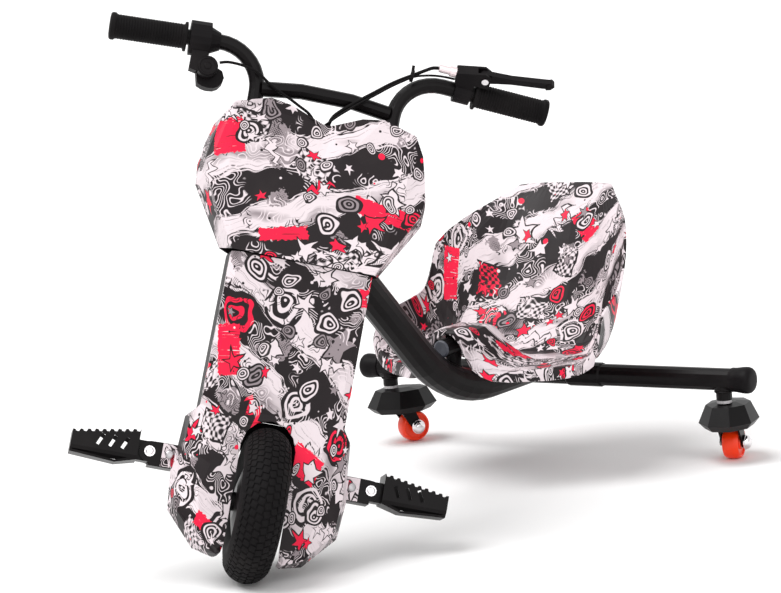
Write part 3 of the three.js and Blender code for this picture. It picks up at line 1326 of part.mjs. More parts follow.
function headGroup() {
  const group = new THREE.Group();
  group.position.set(0, steer.axisY, axisZ);
  group.rotation.x = -rake;
  group.add(
    named("head_tube", headTube(), "frame"),
    named("headset_upper", headCup(cup.upperHeight, head.high, 1), "steel"),
    named("headset_lower", headCup(cup.lowerHeight, head.low, -1), "steel"),
    steeredGroup(),
  );
  return group;
}

function steeredGroup() {
  const group = new THREE.Group();
  group.rotation.z = rest;
  group.add(
    named("fork", forkSolid(), "frame"),
    named("upper_yoke", upperYoke(), "frame"),
    named("handlebar", handlebarSolid(), "frame"),
    ...pair("grip", gripSolid(), "rubber"),
    named("throttle_housing", throttleHousing(), "black"),
    named("throttle_lever", throttleLever(), "black"),
    named("brake_bracket", brakeBracket(), "black"),
    named("brake_lever", brakeLeverSolid(), "black"),
    named("brake_pivot_pin", brakePivotPin(), "chrome"),
    named("brake_adjuster", brakeAdjuster(), "chrome"),
    named("brake_cable", cord(brakeCableRoute, cable.radius), "rubber"),
    named("brake_switch_wire", cord(switchWireRoute, cable.wireRadius), "rubber"),
    named("throttle_lead", cord(leadRoute, cable.leadRadius), "rubber"),
    named("cable_tie", cableTie(), "black"),
    named("upper_shield", upperShield(), "print"),
    named("front_panel", frontPanel(), "print"),
    named("back_cover", backCover(), "black"),
    named("battery", batterySolid(), "battery"),
    named("controller", controllerSolid(), "steel"),
    named("power_button", powerButton(), "orange"),
    named("charge_cap", chargeCap(), "rubber"),
    named("tyre", tyreSolid(), "rubber"),
    named("hub_motor", hubMotor(), "frame"),
    named("wheel_axle", wheelAxle(), "steel"),
    ...pair("axle_nut", axleNut(), "steel"),
    ...pair("peg_bracket", pegBracketSolid(), "frame"),
    ...pair("peg", pegSolid(), "frame"),
    ...pair("peg_bolt", pegBolt(), "chrome"),
  );
  return group;
}

// The part stands on z = 0 with the middle of its plan at the origin
function driftTrike() {
  const trike = new THREE.Group();
  trike.add(rearFrame(), headGroup());
  trike.updateMatrixWorld(true);
  const bounds = new THREE.Box3().setFromObject(trike, true);
  const centre = bounds.getCenter(new THREE.Vector3());
  trike.position.set(-centre.x, -centre.y, -bounds.min.z);
  trike.updateMatrixWorld(true);
  return trike;
}

export default driftTrike();
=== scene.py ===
"""Looks of a drift trike: printed covers, tyre, grips, cords, casters, screws, light and camera.

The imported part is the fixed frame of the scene: +Z up, the trike faces -Y and the rider's left is +X.
Lengths are metres unless a name ends in _mm. Patterns are drawn in real millimetres from object coordinates.
"""

import json
import logging
import math
from dataclasses import dataclass
from enum import Enum
from typing import Callable, Optional, Sequence, Union

import bpy
from mathutils import Matrix, Vector


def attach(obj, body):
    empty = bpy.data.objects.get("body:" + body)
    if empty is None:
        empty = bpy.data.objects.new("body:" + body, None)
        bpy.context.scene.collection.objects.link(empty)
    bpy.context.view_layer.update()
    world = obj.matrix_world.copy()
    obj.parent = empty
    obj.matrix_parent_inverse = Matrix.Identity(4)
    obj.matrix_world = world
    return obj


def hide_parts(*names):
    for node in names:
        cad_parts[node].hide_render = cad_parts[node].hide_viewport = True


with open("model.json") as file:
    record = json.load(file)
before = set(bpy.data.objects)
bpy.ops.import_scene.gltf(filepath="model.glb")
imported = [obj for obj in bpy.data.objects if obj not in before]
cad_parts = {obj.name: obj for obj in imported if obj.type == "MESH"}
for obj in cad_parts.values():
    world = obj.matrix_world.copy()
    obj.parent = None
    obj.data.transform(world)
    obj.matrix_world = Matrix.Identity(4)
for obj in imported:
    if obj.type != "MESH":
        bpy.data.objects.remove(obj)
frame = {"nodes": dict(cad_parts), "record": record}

log = logging.getLogger("drift_trike")
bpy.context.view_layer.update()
MM = 0.001

# Places and angles of the sub-assemblies, as in the CAD source; a place in _MM is left, ahead and up
AXLE_Y = 0.42962
AXLE_HEIGHT = 0.1329
CASTER_X = 0.315
FRONT_ORIGIN = Vector((0.0, -0.24518, 0.35836))
RAKE_DEG = 24.0
STEER_DEG = 43.5
WHEEL_AT_MM = (0.0, 40.0, -290.3)

# Places or settings of three numbers, and profiles of radius and height or lists of places
Triple = tuple[float, float, float]
Pairs = tuple[tuple[float, float], ...]

# Directions in a sub-assembly's own axes, and a quarter turn
AHEAD = Vector((0.0, -1.0, 0.0))
BEHIND = Vector((0.0, 1.0, 0.0))
QUARTER = math.pi / 2


def local_matrix(origin: Vector, rake_deg: float, turn_deg: float) -> Matrix:
    """Frame of a tilted and turned sub-assembly.

    Args:
        origin: the frame's origin in the row frame.
        rake_deg: backwards lean of its up axis.
        turn_deg: turn about its own up axis.

    Returns:
        The matrix from the sub-assembly's axes to the row frame.
    """
    lean = Matrix.Rotation(math.radians(-rake_deg), 4, "X")
    turn = Matrix.Rotation(math.radians(turn_deg), 4, "Z")
    return Matrix.Translation(origin) @ lean @ turn


FRONT = local_matrix(FRONT_ORIGIN, RAKE_DEG, STEER_DEG)


class Side(Enum):
    """Side of the trike, with its sign along X and its caster's toe angle."""

    LEFT = (1, 11.0)
    RIGHT = (-1, -30.0)

    @property
    def sign(self) -> int:
        """Sign of the side along X."""
        return self.value[0]

    @property
    def label(self) -> str:
        """Ending of the names of nodes on this side."""
        return self.name.lower()

    @property
    def caster(self) -> Matrix:
        """Frame of the caster on this side."""
        return local_matrix(Vector((CASTER_X * self.sign, AXLE_Y, 0.0)), 0.0, self.value[1])


def linear(code: str) -> tuple[float, float, float, float]:
    """Linear colour of an sRGB hex code.

    Args:
        code: six hex digits after a hash.

    Returns:
        Red, green, blue and alpha for a shader socket.
    """
    parts = [int(code[i : i + 2], 16) / 255 for i in (1, 3, 5)]
    red, green, blue = (c / 12.92 if c <= 0.04045 else ((c + 0.055) / 1.055) ** 2.4 for c in parts)
    return (red, green, blue, 1.0)


Colour = Union[bpy.types.NodeSocket, tuple[float, float, float, float]]


class Shader:
    """Node tree of a material or of the world, with short calls to add nodes."""

    def __init__(self, owner: Union[bpy.types.Material, bpy.types.World]) -> None:
        """Empties the owner's tree.

        Args:
            owner: the material or the world.
        """
        owner.use_nodes = True
        self.owner = owner
        self.tree = owner.node_tree
        self.tree.nodes.clear()
        self._where: Optional["Field"] = None

    def add(self, kind: str, inputs: dict[Union[int, str], object], **settings) -> bpy.types.Node:
        """Adds a node with its settings and links.

        Args:
            kind: class name of the node, without ShaderNode.
            inputs: socket name or index to a plain value, a socket or a Field.
            settings: attributes of the node.

        Returns:
            The new node.
        """
        node = self.tree.nodes.new(f"ShaderNode{kind}")
        for name, setting in settings.items():
            setattr(node, name, setting)
        for key, value in inputs.items():
            source = value.socket if isinstance(value, Field) else value
            if isinstance(source, bpy.types.NodeSocket):
                self.tree.links.new(source, node.inputs[key])
            else:
                node.inputs[key].default_value = source
        return node

    def where(self) -> "Field":
        """Reads the object coordinates, once for all patterns.

        Returns:
            The coordinates in millimetres.
        """
        if self._where is None:
            read = self.add("TexCoord", {}).outputs["Object"]
            scaled = self.add("VectorMath", {0: read, "Scale": 1 / MM}, operation="SCALE")
            self._where = Field(self, scaled.outputs[0])
        return self._where

    def along(self, direction: Vector, origin: Vector) -> "Field":
        """Distance in millimetres from a point along a direction.

        Args:
            direction: direction in the row frame; its length is the scale.
            origin: point where the distance is zero, in metres.

        Returns:
            The distance as a Field.
        """
        dot = self.add("VectorMath", {0: self.where(), 1: direction}, operation="DOT_PRODUCT")
        return Field(self, dot.outputs["Value"]) - direction.dot(origin) / MM

    def joined(self, x: "Number", y: "Number", z: "Number" = 0.0) -> "Field":
        """Vector of three values."""
        return Field(self, self.add("CombineXYZ", {0: x, 1: y, 2: z}).outputs[0])

    def noise(self, vector: "Field", scale: float, detail: float = 2.0, rough: float = 0.5) -> "Field":
        """Noise between zero and one.

        Args:
            vector: where the noise is read, in millimetres.
            scale: cycles in a millimetre.
            detail: octaves.
            rough: weight of the finer octaves.

        Returns:
            The noise as a Field.
        """
        inputs = {"Vector": vector, "Scale": scale, "Detail": detail, "Roughness": rough}
        return Field(self, self.add("TexNoise", inputs).outputs[0])

    def mix(self, mask: "Number", low: Colour, high: Colour) -> bpy.types.NodeSocket:
        """Colour that goes from low to high with the mask."""
        return self.add("Mix", {0: mask, 6: low, 7: high}, data_type="RGBA").outputs[2]

    def bump(
        self, height: "Field", depth_mm: float, before: Optional[bpy.types.NodeSocket] = None
    ) -> bpy.types.NodeSocket:
        """Surface normal from a height.

        Args:
            height: relief as a share of the depth.
            depth_mm: depth of the relief.
            before: normal that this relief is laid on.

        Returns:
            The normal's socket.
        """
        laid_on = {} if before is None else {"Normal": before}
        return self.add("Bump", {"Height": height, "Distance": depth_mm * MM, **laid_on}).outputs[0]

    def surface(self, **inputs) -> bpy.types.Material:
        """Ends the tree with a Principled shader.

        Args:
            inputs: names of its sockets, spaces as underscores.

        Returns:
            The finished material.
        """
        named = {name.replace("_", " "): value for name, value in inputs.items()}
        self.add("OutputMaterial", {"Surface": self.add("BsdfPrincipled", named).outputs[0]})
        return self.owner


class Field:
    """A value in a node tree; arithmetic on it adds Math nodes."""

    def __init__(self, shader: Shader, socket: bpy.types.NodeSocket) -> None:
        """Wraps a socket.

        Args:
            shader: tree the socket is in.
            socket: output that holds the value.
        """
        self.shader = shader
        self.socket = socket

    def math(self, operation: str, *others: "Number", clamp: bool = False) -> "Field":
        """Result of one Math node on this value.

        Args:
            operation: Blender's name of the operation.
            others: its further inputs.
            clamp: whether the result stays between zero and one.

        Returns:
            The result as a Field.
        """
        inputs = dict(enumerate((self, *others)))
        node = self.shader.add("Math", inputs, operation=operation, use_clamp=clamp)
        return Field(self.shader, node.outputs[0])

    def __add__(self, other: "Number") -> "Field":
        """Sum of two values."""
        return self.math("ADD", other)

    def __sub__(self, other: "Number") -> "Field":
        """Difference of two values."""
        return self.math("SUBTRACT", other)

    def __mul__(self, other: "Number") -> "Field":
        """Product of two values."""
        return self.math("MULTIPLY", other)

    def __truediv__(self, other: "Number") -> "Field":
        """Quotient of two values."""
        return self.math("DIVIDE", other)

    def __neg__(self) -> "Field":
        """The value with its sign turned."""
        return self * -1.0

    def share(self, gain: float) -> "Field":
        """The value times a gain, kept between zero and one."""
        return self.math("MULTIPLY", gain, clamp=True)

    def size(self) -> "Field":
        """Absolute value."""
        return self.math("ABSOLUTE")

    def most(self, other: "Number") -> "Field":
        """Larger of two values."""
        return self.math("MAXIMUM", other)

    def fold(self, reach: float) -> "Field":
        """Triangle wave between zero and reach."""
        return self.math("PINGPONG", reach)

    def inside(self, soft_mm: float = 0.5) -> "Field":
        """One where the signed distance is below zero, with an edge of the given width."""
        return (self / -soft_mm).math("ADD", 0.5, clamp=True)


Number = Union[Field, float]


def turn(u: Field, v: Field, angle: Number) -> tuple[Field, Field]:
    """Turns a pair of coordinates.

    Args:
        u: first coordinate.
        v: second coordinate.
        angle: angle in radians.

    Returns:
        The turned pair.
    """
    if isinstance(angle, Field):
        cosine, sine = angle.math("COSINE"), angle.math("SINE")
    else:
        cosine, sine = math.cos(angle), math.sin(angle)
    return u * cosine + v * sine, v * cosine - u * sine


def length(u: Field, v: Field) -> Field:
    """Length of a pair of coordinates."""
    return (u * u + v * v).math("SQRT")


@dataclass(frozen=True)
class Finish:
    """Plain procedural finish: base colour, gloss, fine grain, long scratches and clouds of dust."""

    name: str
    colour: str
    roughness: float
    metallic: float = 0.0
    coat: float = 0.0
    coat_roughness: float = 0.12
    specular: float = 0.5
    grain_mm: float = 1.2
    grain_depth_mm: float = 0.02
    cloud_mm: float = 70.0
    cloud_gloss: float = 0.12
    scratch_stretch: Triple = (0.03, 0.9, 0.3)
    scratch_level: float = 0.69
    scratch_gain: float = 14.0
    scratch_gloss: float = 0.1
    scratch_depth_mm: float = 0.01
    dust: float = 0.05
    dust_colour: str = "#8d8683"

    def material(self) -> bpy.types.Material:
        """Builds the material.

        Returns:
            The material of this finish.
        """
        shader = Shader(bpy.data.materials.new(self.name))
        place = shader.where()
        cloud = shader.noise(place, 1 / self.cloud_mm, 4.0) - 0.5
        grain = shader.noise(place, 1 / self.grain_mm, 3.0)
        drawn = shader.add("VectorMath", {0: place, 1: self.scratch_stretch}, operation="MULTIPLY")
        marks = shader.noise(Field(shader, drawn.outputs[0]), 1.0, 2.0)
        scratch = (marks - self.scratch_level).share(self.scratch_gain)
        base = shader.mix((cloud * 3.0).share(self.dust), linear(self.colour), linear(self.dust_colour))
        rough = cloud * self.cloud_gloss + scratch * self.scratch_gloss + self.roughness
        normal = shader.bump(-scratch, self.scratch_depth_mm, shader.bump(grain, self.grain_depth_mm))
        return shader.surface(Base_Color=base, Roughness=rough, Metallic=self.metallic, Normal=normal,
                              Coat_Weight=self.coat, Coat_Roughness=self.coat_roughness,
                              Specular_IOR_Level=self.specular)


@dataclass(frozen=True)
class Slab:
    """A rough painted block in a print."""

    across_mm: float
    up_mm: float
    half_width_mm: float
    half_height_mm: float
    lean_deg: float


@dataclass(frozen=True)
class StickerLayer:
    """One grid of stickers; share says how many of its cells hold one, seed picks the set."""

    cell_mm: float
    lean: float
    share: float
    seed: float
    shift_mm: tuple[float, float] = (0.0, 0.0)


class Sheet:
    """A print while it is drawn: coordinates in millimetres, a ragged edge and the colour so far."""

    def __init__(self, shader: Shader, u: Field, v: Field, ground: Colour, stray_mm: float = 26.0) -> None:
        """Starts a print on its ground.

        Args:
            shader: tree of the print's material.
            u: coordinate across the print.
            v: coordinate up the print.
            ground: colour below everything.
            stray_mm: how far the wavy coordinates stray.
        """
        self.shader, self.u, self.v, self.colour = shader, u, v, ground
        self.flat = shader.joined(u, v)
        wobble = shader.add("TexNoise", {"Vector": self.flat, "Scale": 0.03, "Detail": 1.0})
        parts = self.split(wobble.outputs["Color"])
        self.wavy_u = u + (parts[0] - 0.5) * stray_mm
        self.wavy_v = v + (parts[1] - 0.5) * stray_mm
        self.rag = shader.noise(self.flat, 0.22, 3.0) - 0.5

    def split(self, colour: bpy.types.NodeSocket) -> list[Field]:
        """Red, green and blue of a colour as three values."""
        parts = self.shader.add("SeparateColor", {0: colour})
        return [Field(self.shader, socket) for socket in parts.outputs[:3]]

    def lay(self, mask: Field, colour: Colour) -> None:
        """Lays a colour over the print where the mask is one."""
        self.colour = self.shader.mix(mask, self.colour, colour)


@dataclass(frozen=True)
class StreetPrint:
    """Generic street-style print of brush bands, stickers, dots and splashes on moulded covers.

    A clear film over it gives all the inks one soft, slightly uneven shine.
    """

    name: str
    band_lean_deg: float
    band_step_mm: float
    shift_mm: tuple[float, float]
    slabs: Sequence[Slab] = ()
    dark: str = "#1f191b"
    pale: str = "#ddd1d5"
    hot: str = "#ea1c42"
    grey: str = "#8f8488"
    dust: str = "#8e8583"
    large: StickerLayer = StickerLayer(70.0, 0.35, 0.62, 3.0)
    small: tuple[StickerLayer, ...] = (
        StickerLayer(41.0, -0.5, 0.36, 11.0, (31.0, -17.0)),
        StickerLayer(23.0, 0.9, 0.24, 23.0, (-13.0, 29.0)))

    def material(self, place: Callable[[Shader], tuple[Field, Field]]) -> bpy.types.Material:
        """Builds the print.

        Args:
            place: gives the print's own two coordinates in millimetres.

        Returns:
            The printed material.
        """
        shader = Shader(bpy.data.materials.new(self.name))
        u, v = place(shader)
        sheet = Sheet(shader, u + self.shift_mm[0], v + self.shift_mm[1], linear(self.dark))
        self.bands(sheet)
        self.splashes(sheet)
        self.stickers(sheet, self.large)
        self.scribbles(sheet)
        self.blocks(sheet)
        for layer in self.small:
            self.stickers(sheet, layer)
        self.specks(sheet)
        cloud = shader.noise(shader.where(), 1 / 60, 4.0)
        fine = shader.noise(shader.where(), 1.6, 2.0)
        sheet.lay(((cloud - 0.55) * 1.2).share(0.1), linear(self.dust))
        return shader.surface(Base_Color=sheet.colour, Roughness=(cloud - 0.5) * 0.16 + 0.38,
                              Normal=shader.bump(fine, 0.012), Specular_IOR_Level=0.15)

    def bands(self, sheet: Sheet) -> None:
        """Lays wide dry-brush bands with grey bristle lines and a dark outline.

        Args:
            sheet: the print so far.
        """
        mix, noise, joined = sheet.shader.mix, sheet.shader.noise, sheet.shader.joined
        along, across = turn(sheet.wavy_u, sheet.wavy_v, math.radians(self.band_lean_deg))
        bristle = noise(joined(along * 0.012, across * 0.34), 1.0, 3.0, 0.6) - 0.5
        swell = noise(joined(along, across), 0.012, 1.0) - 0.5
        band = across.fold(self.band_step_mm) - self.band_step_mm * 0.47 + bristle * 13.0 + swell * 40.0
        shade = noise(joined(along * 0.5, across), 0.03, 1.0) - 0.52
        brushed = mix((shade * 5.0).share(1.0), linear(self.pale), linear(self.grey))
        brushed = mix((bristle * 9.0 - 0.7).share(1.0), brushed, linear(self.grey))
        sheet.lay(band.inside(), brushed)
        sheet.lay(((band + 3.2).size() - 0.9).inside(0.4), linear(self.dark))

    def splashes(self, sheet: Sheet) -> None:
        """Lays large grey splashes with dots of halftone inside them.

        Args:
            sheet: the print so far.
        """
        pool = sheet.shader.noise(sheet.flat, 0.0135, 2.0) - 0.63
        splash = -pool * 160.0 + sheet.rag * 20.0
        sheet.lay(splash.inside(0.6), linear(self.grey))
        a, b = turn(sheet.u, sheet.v, 0.7)
        dots = length(a.fold(2.6) - 1.3, b.fold(2.6) - 1.3) - 0.25 - pool * 9.0
        sheet.lay(dots.most(splash + 5.0).inside(0.4), linear(self.dark))

    def scribbles(self, sheet: Sheet) -> None:
        """Lays patches of fine pen lines that run like contours, pale on dark and dark on pale.

        Args:
            sheet: the print so far.
        """
        patch = sheet.shader.noise(sheet.flat, 0.018, 1.0)
        pens = ((0.03, 17.0, 0.5, 60.0, self.pale), (0.045, 13.0, 0.42, -60.0, self.dark))
        for scale, lines, level, gain, code in pens:
            cloud = sheet.shader.noise(sheet.flat, scale, 1.0)
            line = ((cloud * lines).fold(1.0) - 0.5).size() - 0.13
            sheet.lay((line * 3.0).inside(0.3) * (patch - level).share(gain), linear(code))

    def blocks(self, sheet: Sheet) -> None:
        """Lays hot blocks with ragged edges and a few scraped lines.

        Args:
            sheet: the print so far.
        """
        for slab in self.slabs:
            u = sheet.u - self.shift_mm[0] - slab.across_mm
            a, b = turn(u, sheet.v - self.shift_mm[1] - slab.up_mm, math.radians(slab.lean_deg))
            box = (a.size() - slab.half_width_mm).most(b.size() - slab.half_height_mm) + sheet.rag * 9.0
            scrape = sheet.shader.noise(sheet.shader.joined(a * 0.015, b * 0.4), 1.0, 3.0) - 0.62
            sheet.lay(box.inside(0.5) * (scrape * 60.0).inside(1.0), linear(self.hot))

    def stickers(self, sheet: Sheet, layer: StickerLayer) -> None:
        """Lays outlined stickers; each cell of the grid draws its own shape, turn and colour.

        Args:
            sheet: the print so far.
            layer: the grid and how full it is.
        """
        cell, shader = layer.cell_mm, sheet.shader
        a, b = turn(sheet.wavy_u + layer.shift_mm[0], sheet.wavy_v + layer.shift_mm[1], layer.lean)
        a, b = a / cell, b / cell
        column, row = a.math("FLOOR"), b.math("FLOOR")
        white = shader.add("TexWhiteNoise", {0: shader.joined(column, row, layer.seed)})
        pick, spin, tint = sheet.split(white.outputs["Color"])
        a, b = turn((a - column - 0.5) * cell, (b - row - 0.5) * cell, spin * math.tau)
        shapes = self.shapes(a, b, cell)
        place = (pick * len(shapes)).math("FLOOR")
        drawn = place.math("COMPARE", 0.0, 0.5) * shapes[0]
        for index, shape in enumerate(shapes[1:], 1):
            drawn = drawn + place.math("COMPARE", float(index), 0.5) * shape
        limit = (a.size() - cell * 0.47).most(b.size() - cell * 0.47)
        there = Field(shader, white.outputs["Value"]).math("LESS_THAN", layer.share)
        sheet.lay((drawn - cell * 0.045).most(limit).inside() * there, linear(self.dark))
        ramp = shader.add("ValToRGB", {0: tint})
        stops = ramp.color_ramp
        stops.interpolation = "CONSTANT"
        inks = ((0.0, self.pale), (0.46, self.hot), (0.68, self.grey), (0.8, self.pale))
        for index, (spot, code) in enumerate(inks):
            stop = stops.elements[index] if index < 2 else stops.elements.new(spot)
            stop.position = spot
            stop.color = linear(code)
        sheet.lay(drawn.most(limit).inside() * there, ramp.outputs[0])

    @staticmethod
    def shapes(a: Field, b: Field, cell: float) -> list[Field]:
        """Signed distances of the sticker shapes in a cell.

        Args:
            a: first coordinate from the cell's middle.
            b: second coordinate from the cell's middle.
            cell: size of the cell.

        Returns:
            One Field for each shape.
        """
        radius = length(a, b)
        folded = b.math("ARCTAN2", a).fold(math.pi / 5)
        star = radius * (folded.math("COSINE") * 0.384 + folded.math("SINE") * 0.923) - cell * 0.15
        ripples = (radius.fold(cell * 0.075) - cell * 0.036).most(radius - cell * 0.38)
        zigzag = (a.fold(cell * 0.16) - cell * 0.08) * 1.5
        bolt = ((b - zigzag).size() + a.size() * 0.16 - cell * 0.12).most(a.size() - cell * 0.42)
        checks = (a.fold(cell * 0.085) - cell * 0.0425) * (b.fold(cell * 0.085) - cell * 0.0425)
        board = (checks * (11.0 / cell)).most(a.size() - cell * 0.34).most(b.size() - cell * 0.255)
        arrows = ((b.size() * 0.8 + a).fold(cell * 0.1) - cell * 0.055).most(b.size() - cell * 0.24)
        arrows = arrows.most(a.size() - cell * 0.36)
        cog_edge = (b.math("ARCTAN2", a) * 9.0).math("SINE") * (cell * 0.035)
        cog = (radius + cog_edge - cell * 0.33).most(-(radius - cell * 0.15))
        return [star, ripples, bolt, board, arrows, cog]

    def specks(self, sheet: Sheet) -> None:
        """Lays small drops of pale, hot and dark paint, about one to each cell.

        Args:
            sheet: the print so far.
        """
        for cell_mm, seed, code in ((19, 0.0, self.pale), (31, 40.0, self.hot), (14, 90.0, self.dark)):
            moved = sheet.shader.add("VectorMath", {0: sheet.flat, 1: (seed, seed, 0.0)}, operation="ADD")
            cells = sheet.shader.add("TexVoronoi", {"Vector": moved.outputs[0], "Scale": 1 / cell_mm})
            grown = sheet.split(cells.outputs["Color"])[0].math("POWER", 3.0) * 0.2
            drop = (Field(sheet.shader, cells.outputs["Distance"]) - grown + 0.015) / (1 / cell_mm)
            sheet.lay(drop.inside(0.4), linear(code))


class Paint(Enum):
    """Plain finishes of the trike."""

    # Powder-coated steel: an even satin black with soft highlights along the tubes
    FRAME = Finish("satin_black_frame", "#0d0a0b", 0.34, specular=0.12, grain_mm=2.5, dust=0.02)
    # Moulded plastic with a fine grain: a dull black without clear reflections
    PLASTIC = Finish(
        "grained_black_plastic", "#0d0a0c", 0.5, specular=0.1, grain_mm=0.8, grain_depth_mm=0.05, dust=0.03)
    # Smoother moulded plastic of the caster hoods: a black whose facets each catch the light
    GLOSS = Finish("black_caster_plastic", "#0b090a", 0.36, specular=0.14, grain_mm=1.0, dust=0.02)
    # Moulded soft rubber: the dullest of the blacks
    RUBBER = Finish(
        "black_rubber", "#0b090a", 0.64, specular=0.1, grain_mm=0.7, grain_depth_mm=0.06, dust=0.03)
    # Moulded tyre rubber: matt, and a little grey with dust
    TYRE = Finish("tyre_rubber", "#100e0f", 0.7, specular=0.1, grain_mm=0.9, grain_depth_mm=0.08)
    # Cast wheel plastic: a clean strong orange-red with a soft shine
    ORANGE = Finish("orange_wheel", "#ff3a08", 0.36, coat=0.1, specular=0.35, grain_mm=3.0, dust=0.02)
    # Zinc-plated steel: a grey metal with a fine grain and dark dirt
    ZINC = Finish("zinc_steel", "#a9a6a8", 0.34, metallic=1.0, grain_mm=0.6, dust=0.1, dust_colour="#3a3534")
    # Polished chrome plate: clear reflections of floor and sky
    CHROME = Finish(
        "chrome", "#e6e2e4", 0.14, metallic=1.0, grain_mm=5.0, grain_depth_mm=0.004, dust_colour="#4a4546")
    # Tinted alloy of the cable adjuster: a pale pinkish metal
    PIN = Finish("pink_tinted_alloy", "#eadadc", 0.3, metallic=0.7, grain_mm=1.5, dust_colour="#4a4546")
    # Moulded plug of the rail: a dull blue-grey
    PLUG = Finish("grey_plug", "#43454e", 0.45, grain_mm=0.9)
    # Shrink-wrapped cells: a smooth blue film with a thin gloss
    BATTERY = Finish("battery_wrap", "#27406b", 0.4, coat=0.3, grain_mm=4.0)
    # Brushed metal case: a soft grey shine
    CASE = Finish("brushed_case", "#9a9a9c", 0.38, metallic=1.0, grain_mm=0.8)


_MADE: dict[Paint, bpy.types.Material] = {}


def paint(choice: Paint) -> bpy.types.Material:
    """Material of a plain finish, built once.

    Args:
        choice: the finish.

    Returns:
        Its material.
    """
    if choice not in _MADE:
        _MADE[choice] = choice.value.material()
    return _MADE[choice]


def select_only(*objects: bpy.types.Object) -> None:
    """Selects some objects and nothing else.

    Args:
        objects: the objects; the first becomes active.
    """
    bpy.ops.object.select_all(action="DESELECT")
    for item in objects:
        item.select_set(True)
    bpy.context.view_layer.objects.active = objects[0]


def added(operator: Callable, **settings) -> bpy.types.Object:
    """Runs an operator that adds an object.

    Args:
        operator: the operator.
        settings: its settings.

    Returns:
        The new object, which alone is selected.
    """
    bpy.ops.object.select_all(action="DESELECT")
    operator(**settings)
    return bpy.context.object


def removed(obj: bpy.types.Object) -> None:
    """Deletes a helper object."""
    select_only(obj)
    bpy.ops.object.delete()


def dress(obj: bpy.types.Object, material: bpy.types.Material, smooth_deg: float = 36.0) -> None:
    """Gives an object one material and smooth shading.

    Args:
        obj: the object.
        material: its material.
        smooth_deg: edges that turn by more stay sharp.
    """
    obj.data.materials.clear()
    obj.data.materials.append(material)
    select_only(obj)
    if obj.data.has_custom_normals:
        bpy.ops.mesh.customdata_custom_splitnormals_clear()
    bpy.ops.object.shade_smooth_by_angle(angle=math.radians(smooth_deg))


def settle(obj: bpy.types.Object, place: Matrix, name: str) -> None:
    """Moves a new object and applies its transform.

    Args:
        obj: the object.
        place: matrix to the new place.
        name: its name from now on.
    """
    obj.name = name
    obj.matrix_world = place @ obj.matrix_world
    select_only(obj)
    bpy.ops.object.transform_apply(location=True, rotation=True, scale=True)


def applied(obj: bpy.types.Object, kind: str, **settings) -> None:
    """Adds a modifier and applies it.

    Args:
        obj: the object.
        kind: Blender's name of the modifier.
        settings: attributes of the modifier.
    """
    select_only(obj)
    bpy.ops.object.modifier_add(type=kind)
    modifier = obj.modifiers[-1]
    for name, value in settings.items():
        setattr(modifier, name, value)
    bpy.ops.object.modifier_apply(modifier=modifier.name)


def softened(node: str, width_mm: float, angle_deg: float = 14.0, segments: int = 3) -> None:
    """Rounds a CAD node's edges with a live bevel.

    Args:
        node: name of the node.
        width_mm: width of the bevel.
        angle_deg: edges that turn by less are left alone.
        segments: faces across the bevel.
    """
    obj = frame["nodes"][node]
    select_only(obj)
    bpy.ops.object.modifier_add(type="BEVEL")
    bevel = obj.modifiers[-1]
    bevel.width = width_mm * MM
    bevel.segments = segments
    bevel.limit_method = "ANGLE"
    bevel.angle_limit = math.radians(angle_deg)
    bevel.harden_normals = True
    bevel.use_clamp_overlap = True


def turned(profile_mm: Sequence[tuple[float, float]], steps: int = 64) -> bpy.types.Object:
    """Turns a profile about local Z.

    Args:
        profile_mm: radius and height pairs; the ends may lie on the axis.
        steps: faces round the piece.

    Returns:
        The new object at the origin.
    """
    obj = added(bpy.ops.mesh.primitive_plane_add, size=MM)
    bpy.ops.object.mode_set(mode="EDIT")
    bpy.ops.mesh.select_all(action="SELECT")
    bpy.ops.mesh.merge(type="CENTER")
    start = profile_mm[0]
    bpy.ops.transform.translate(value=(start[0] * MM, 0.0, start[1] * MM))
    for before, after in zip(profile_mm, profile_mm[1:]):
        step = ((after[0] - before[0]) * MM, 0.0, (after[1] - before[1]) * MM)
        bpy.ops.mesh.extrude_region_move(TRANSFORM_OT_translate={"value": step})
    bpy.ops.mesh.select_all(action="SELECT")
    bpy.ops.mesh.spin(steps=steps, angle=math.tau, center=(0, 0, 0), axis=(0, 0, 1))
    bpy.ops.mesh.select_all(action="SELECT")
    bpy.ops.mesh.remove_doubles(threshold=1e-6)
    bpy.ops.mesh.normals_make_consistent(inside=False)
    bpy.ops.object.mode_set(mode="OBJECT")
    return obj


def aimed(point: Vector, direction: Vector) -> Matrix:
    """Matrix that takes local Z to a direction at a point."""
    return Matrix.Translation(point) @ direction.normalized().to_track_quat("Z", "Y").to_matrix().to_4x4()


def front_point(x_mm: float, n_mm: float, t_mm: float) -> Vector:
    """Point of the steered front in its own axes: to the rider's left, ahead and up."""
    return Vector((x_mm, -n_mm, t_mm)) * MM


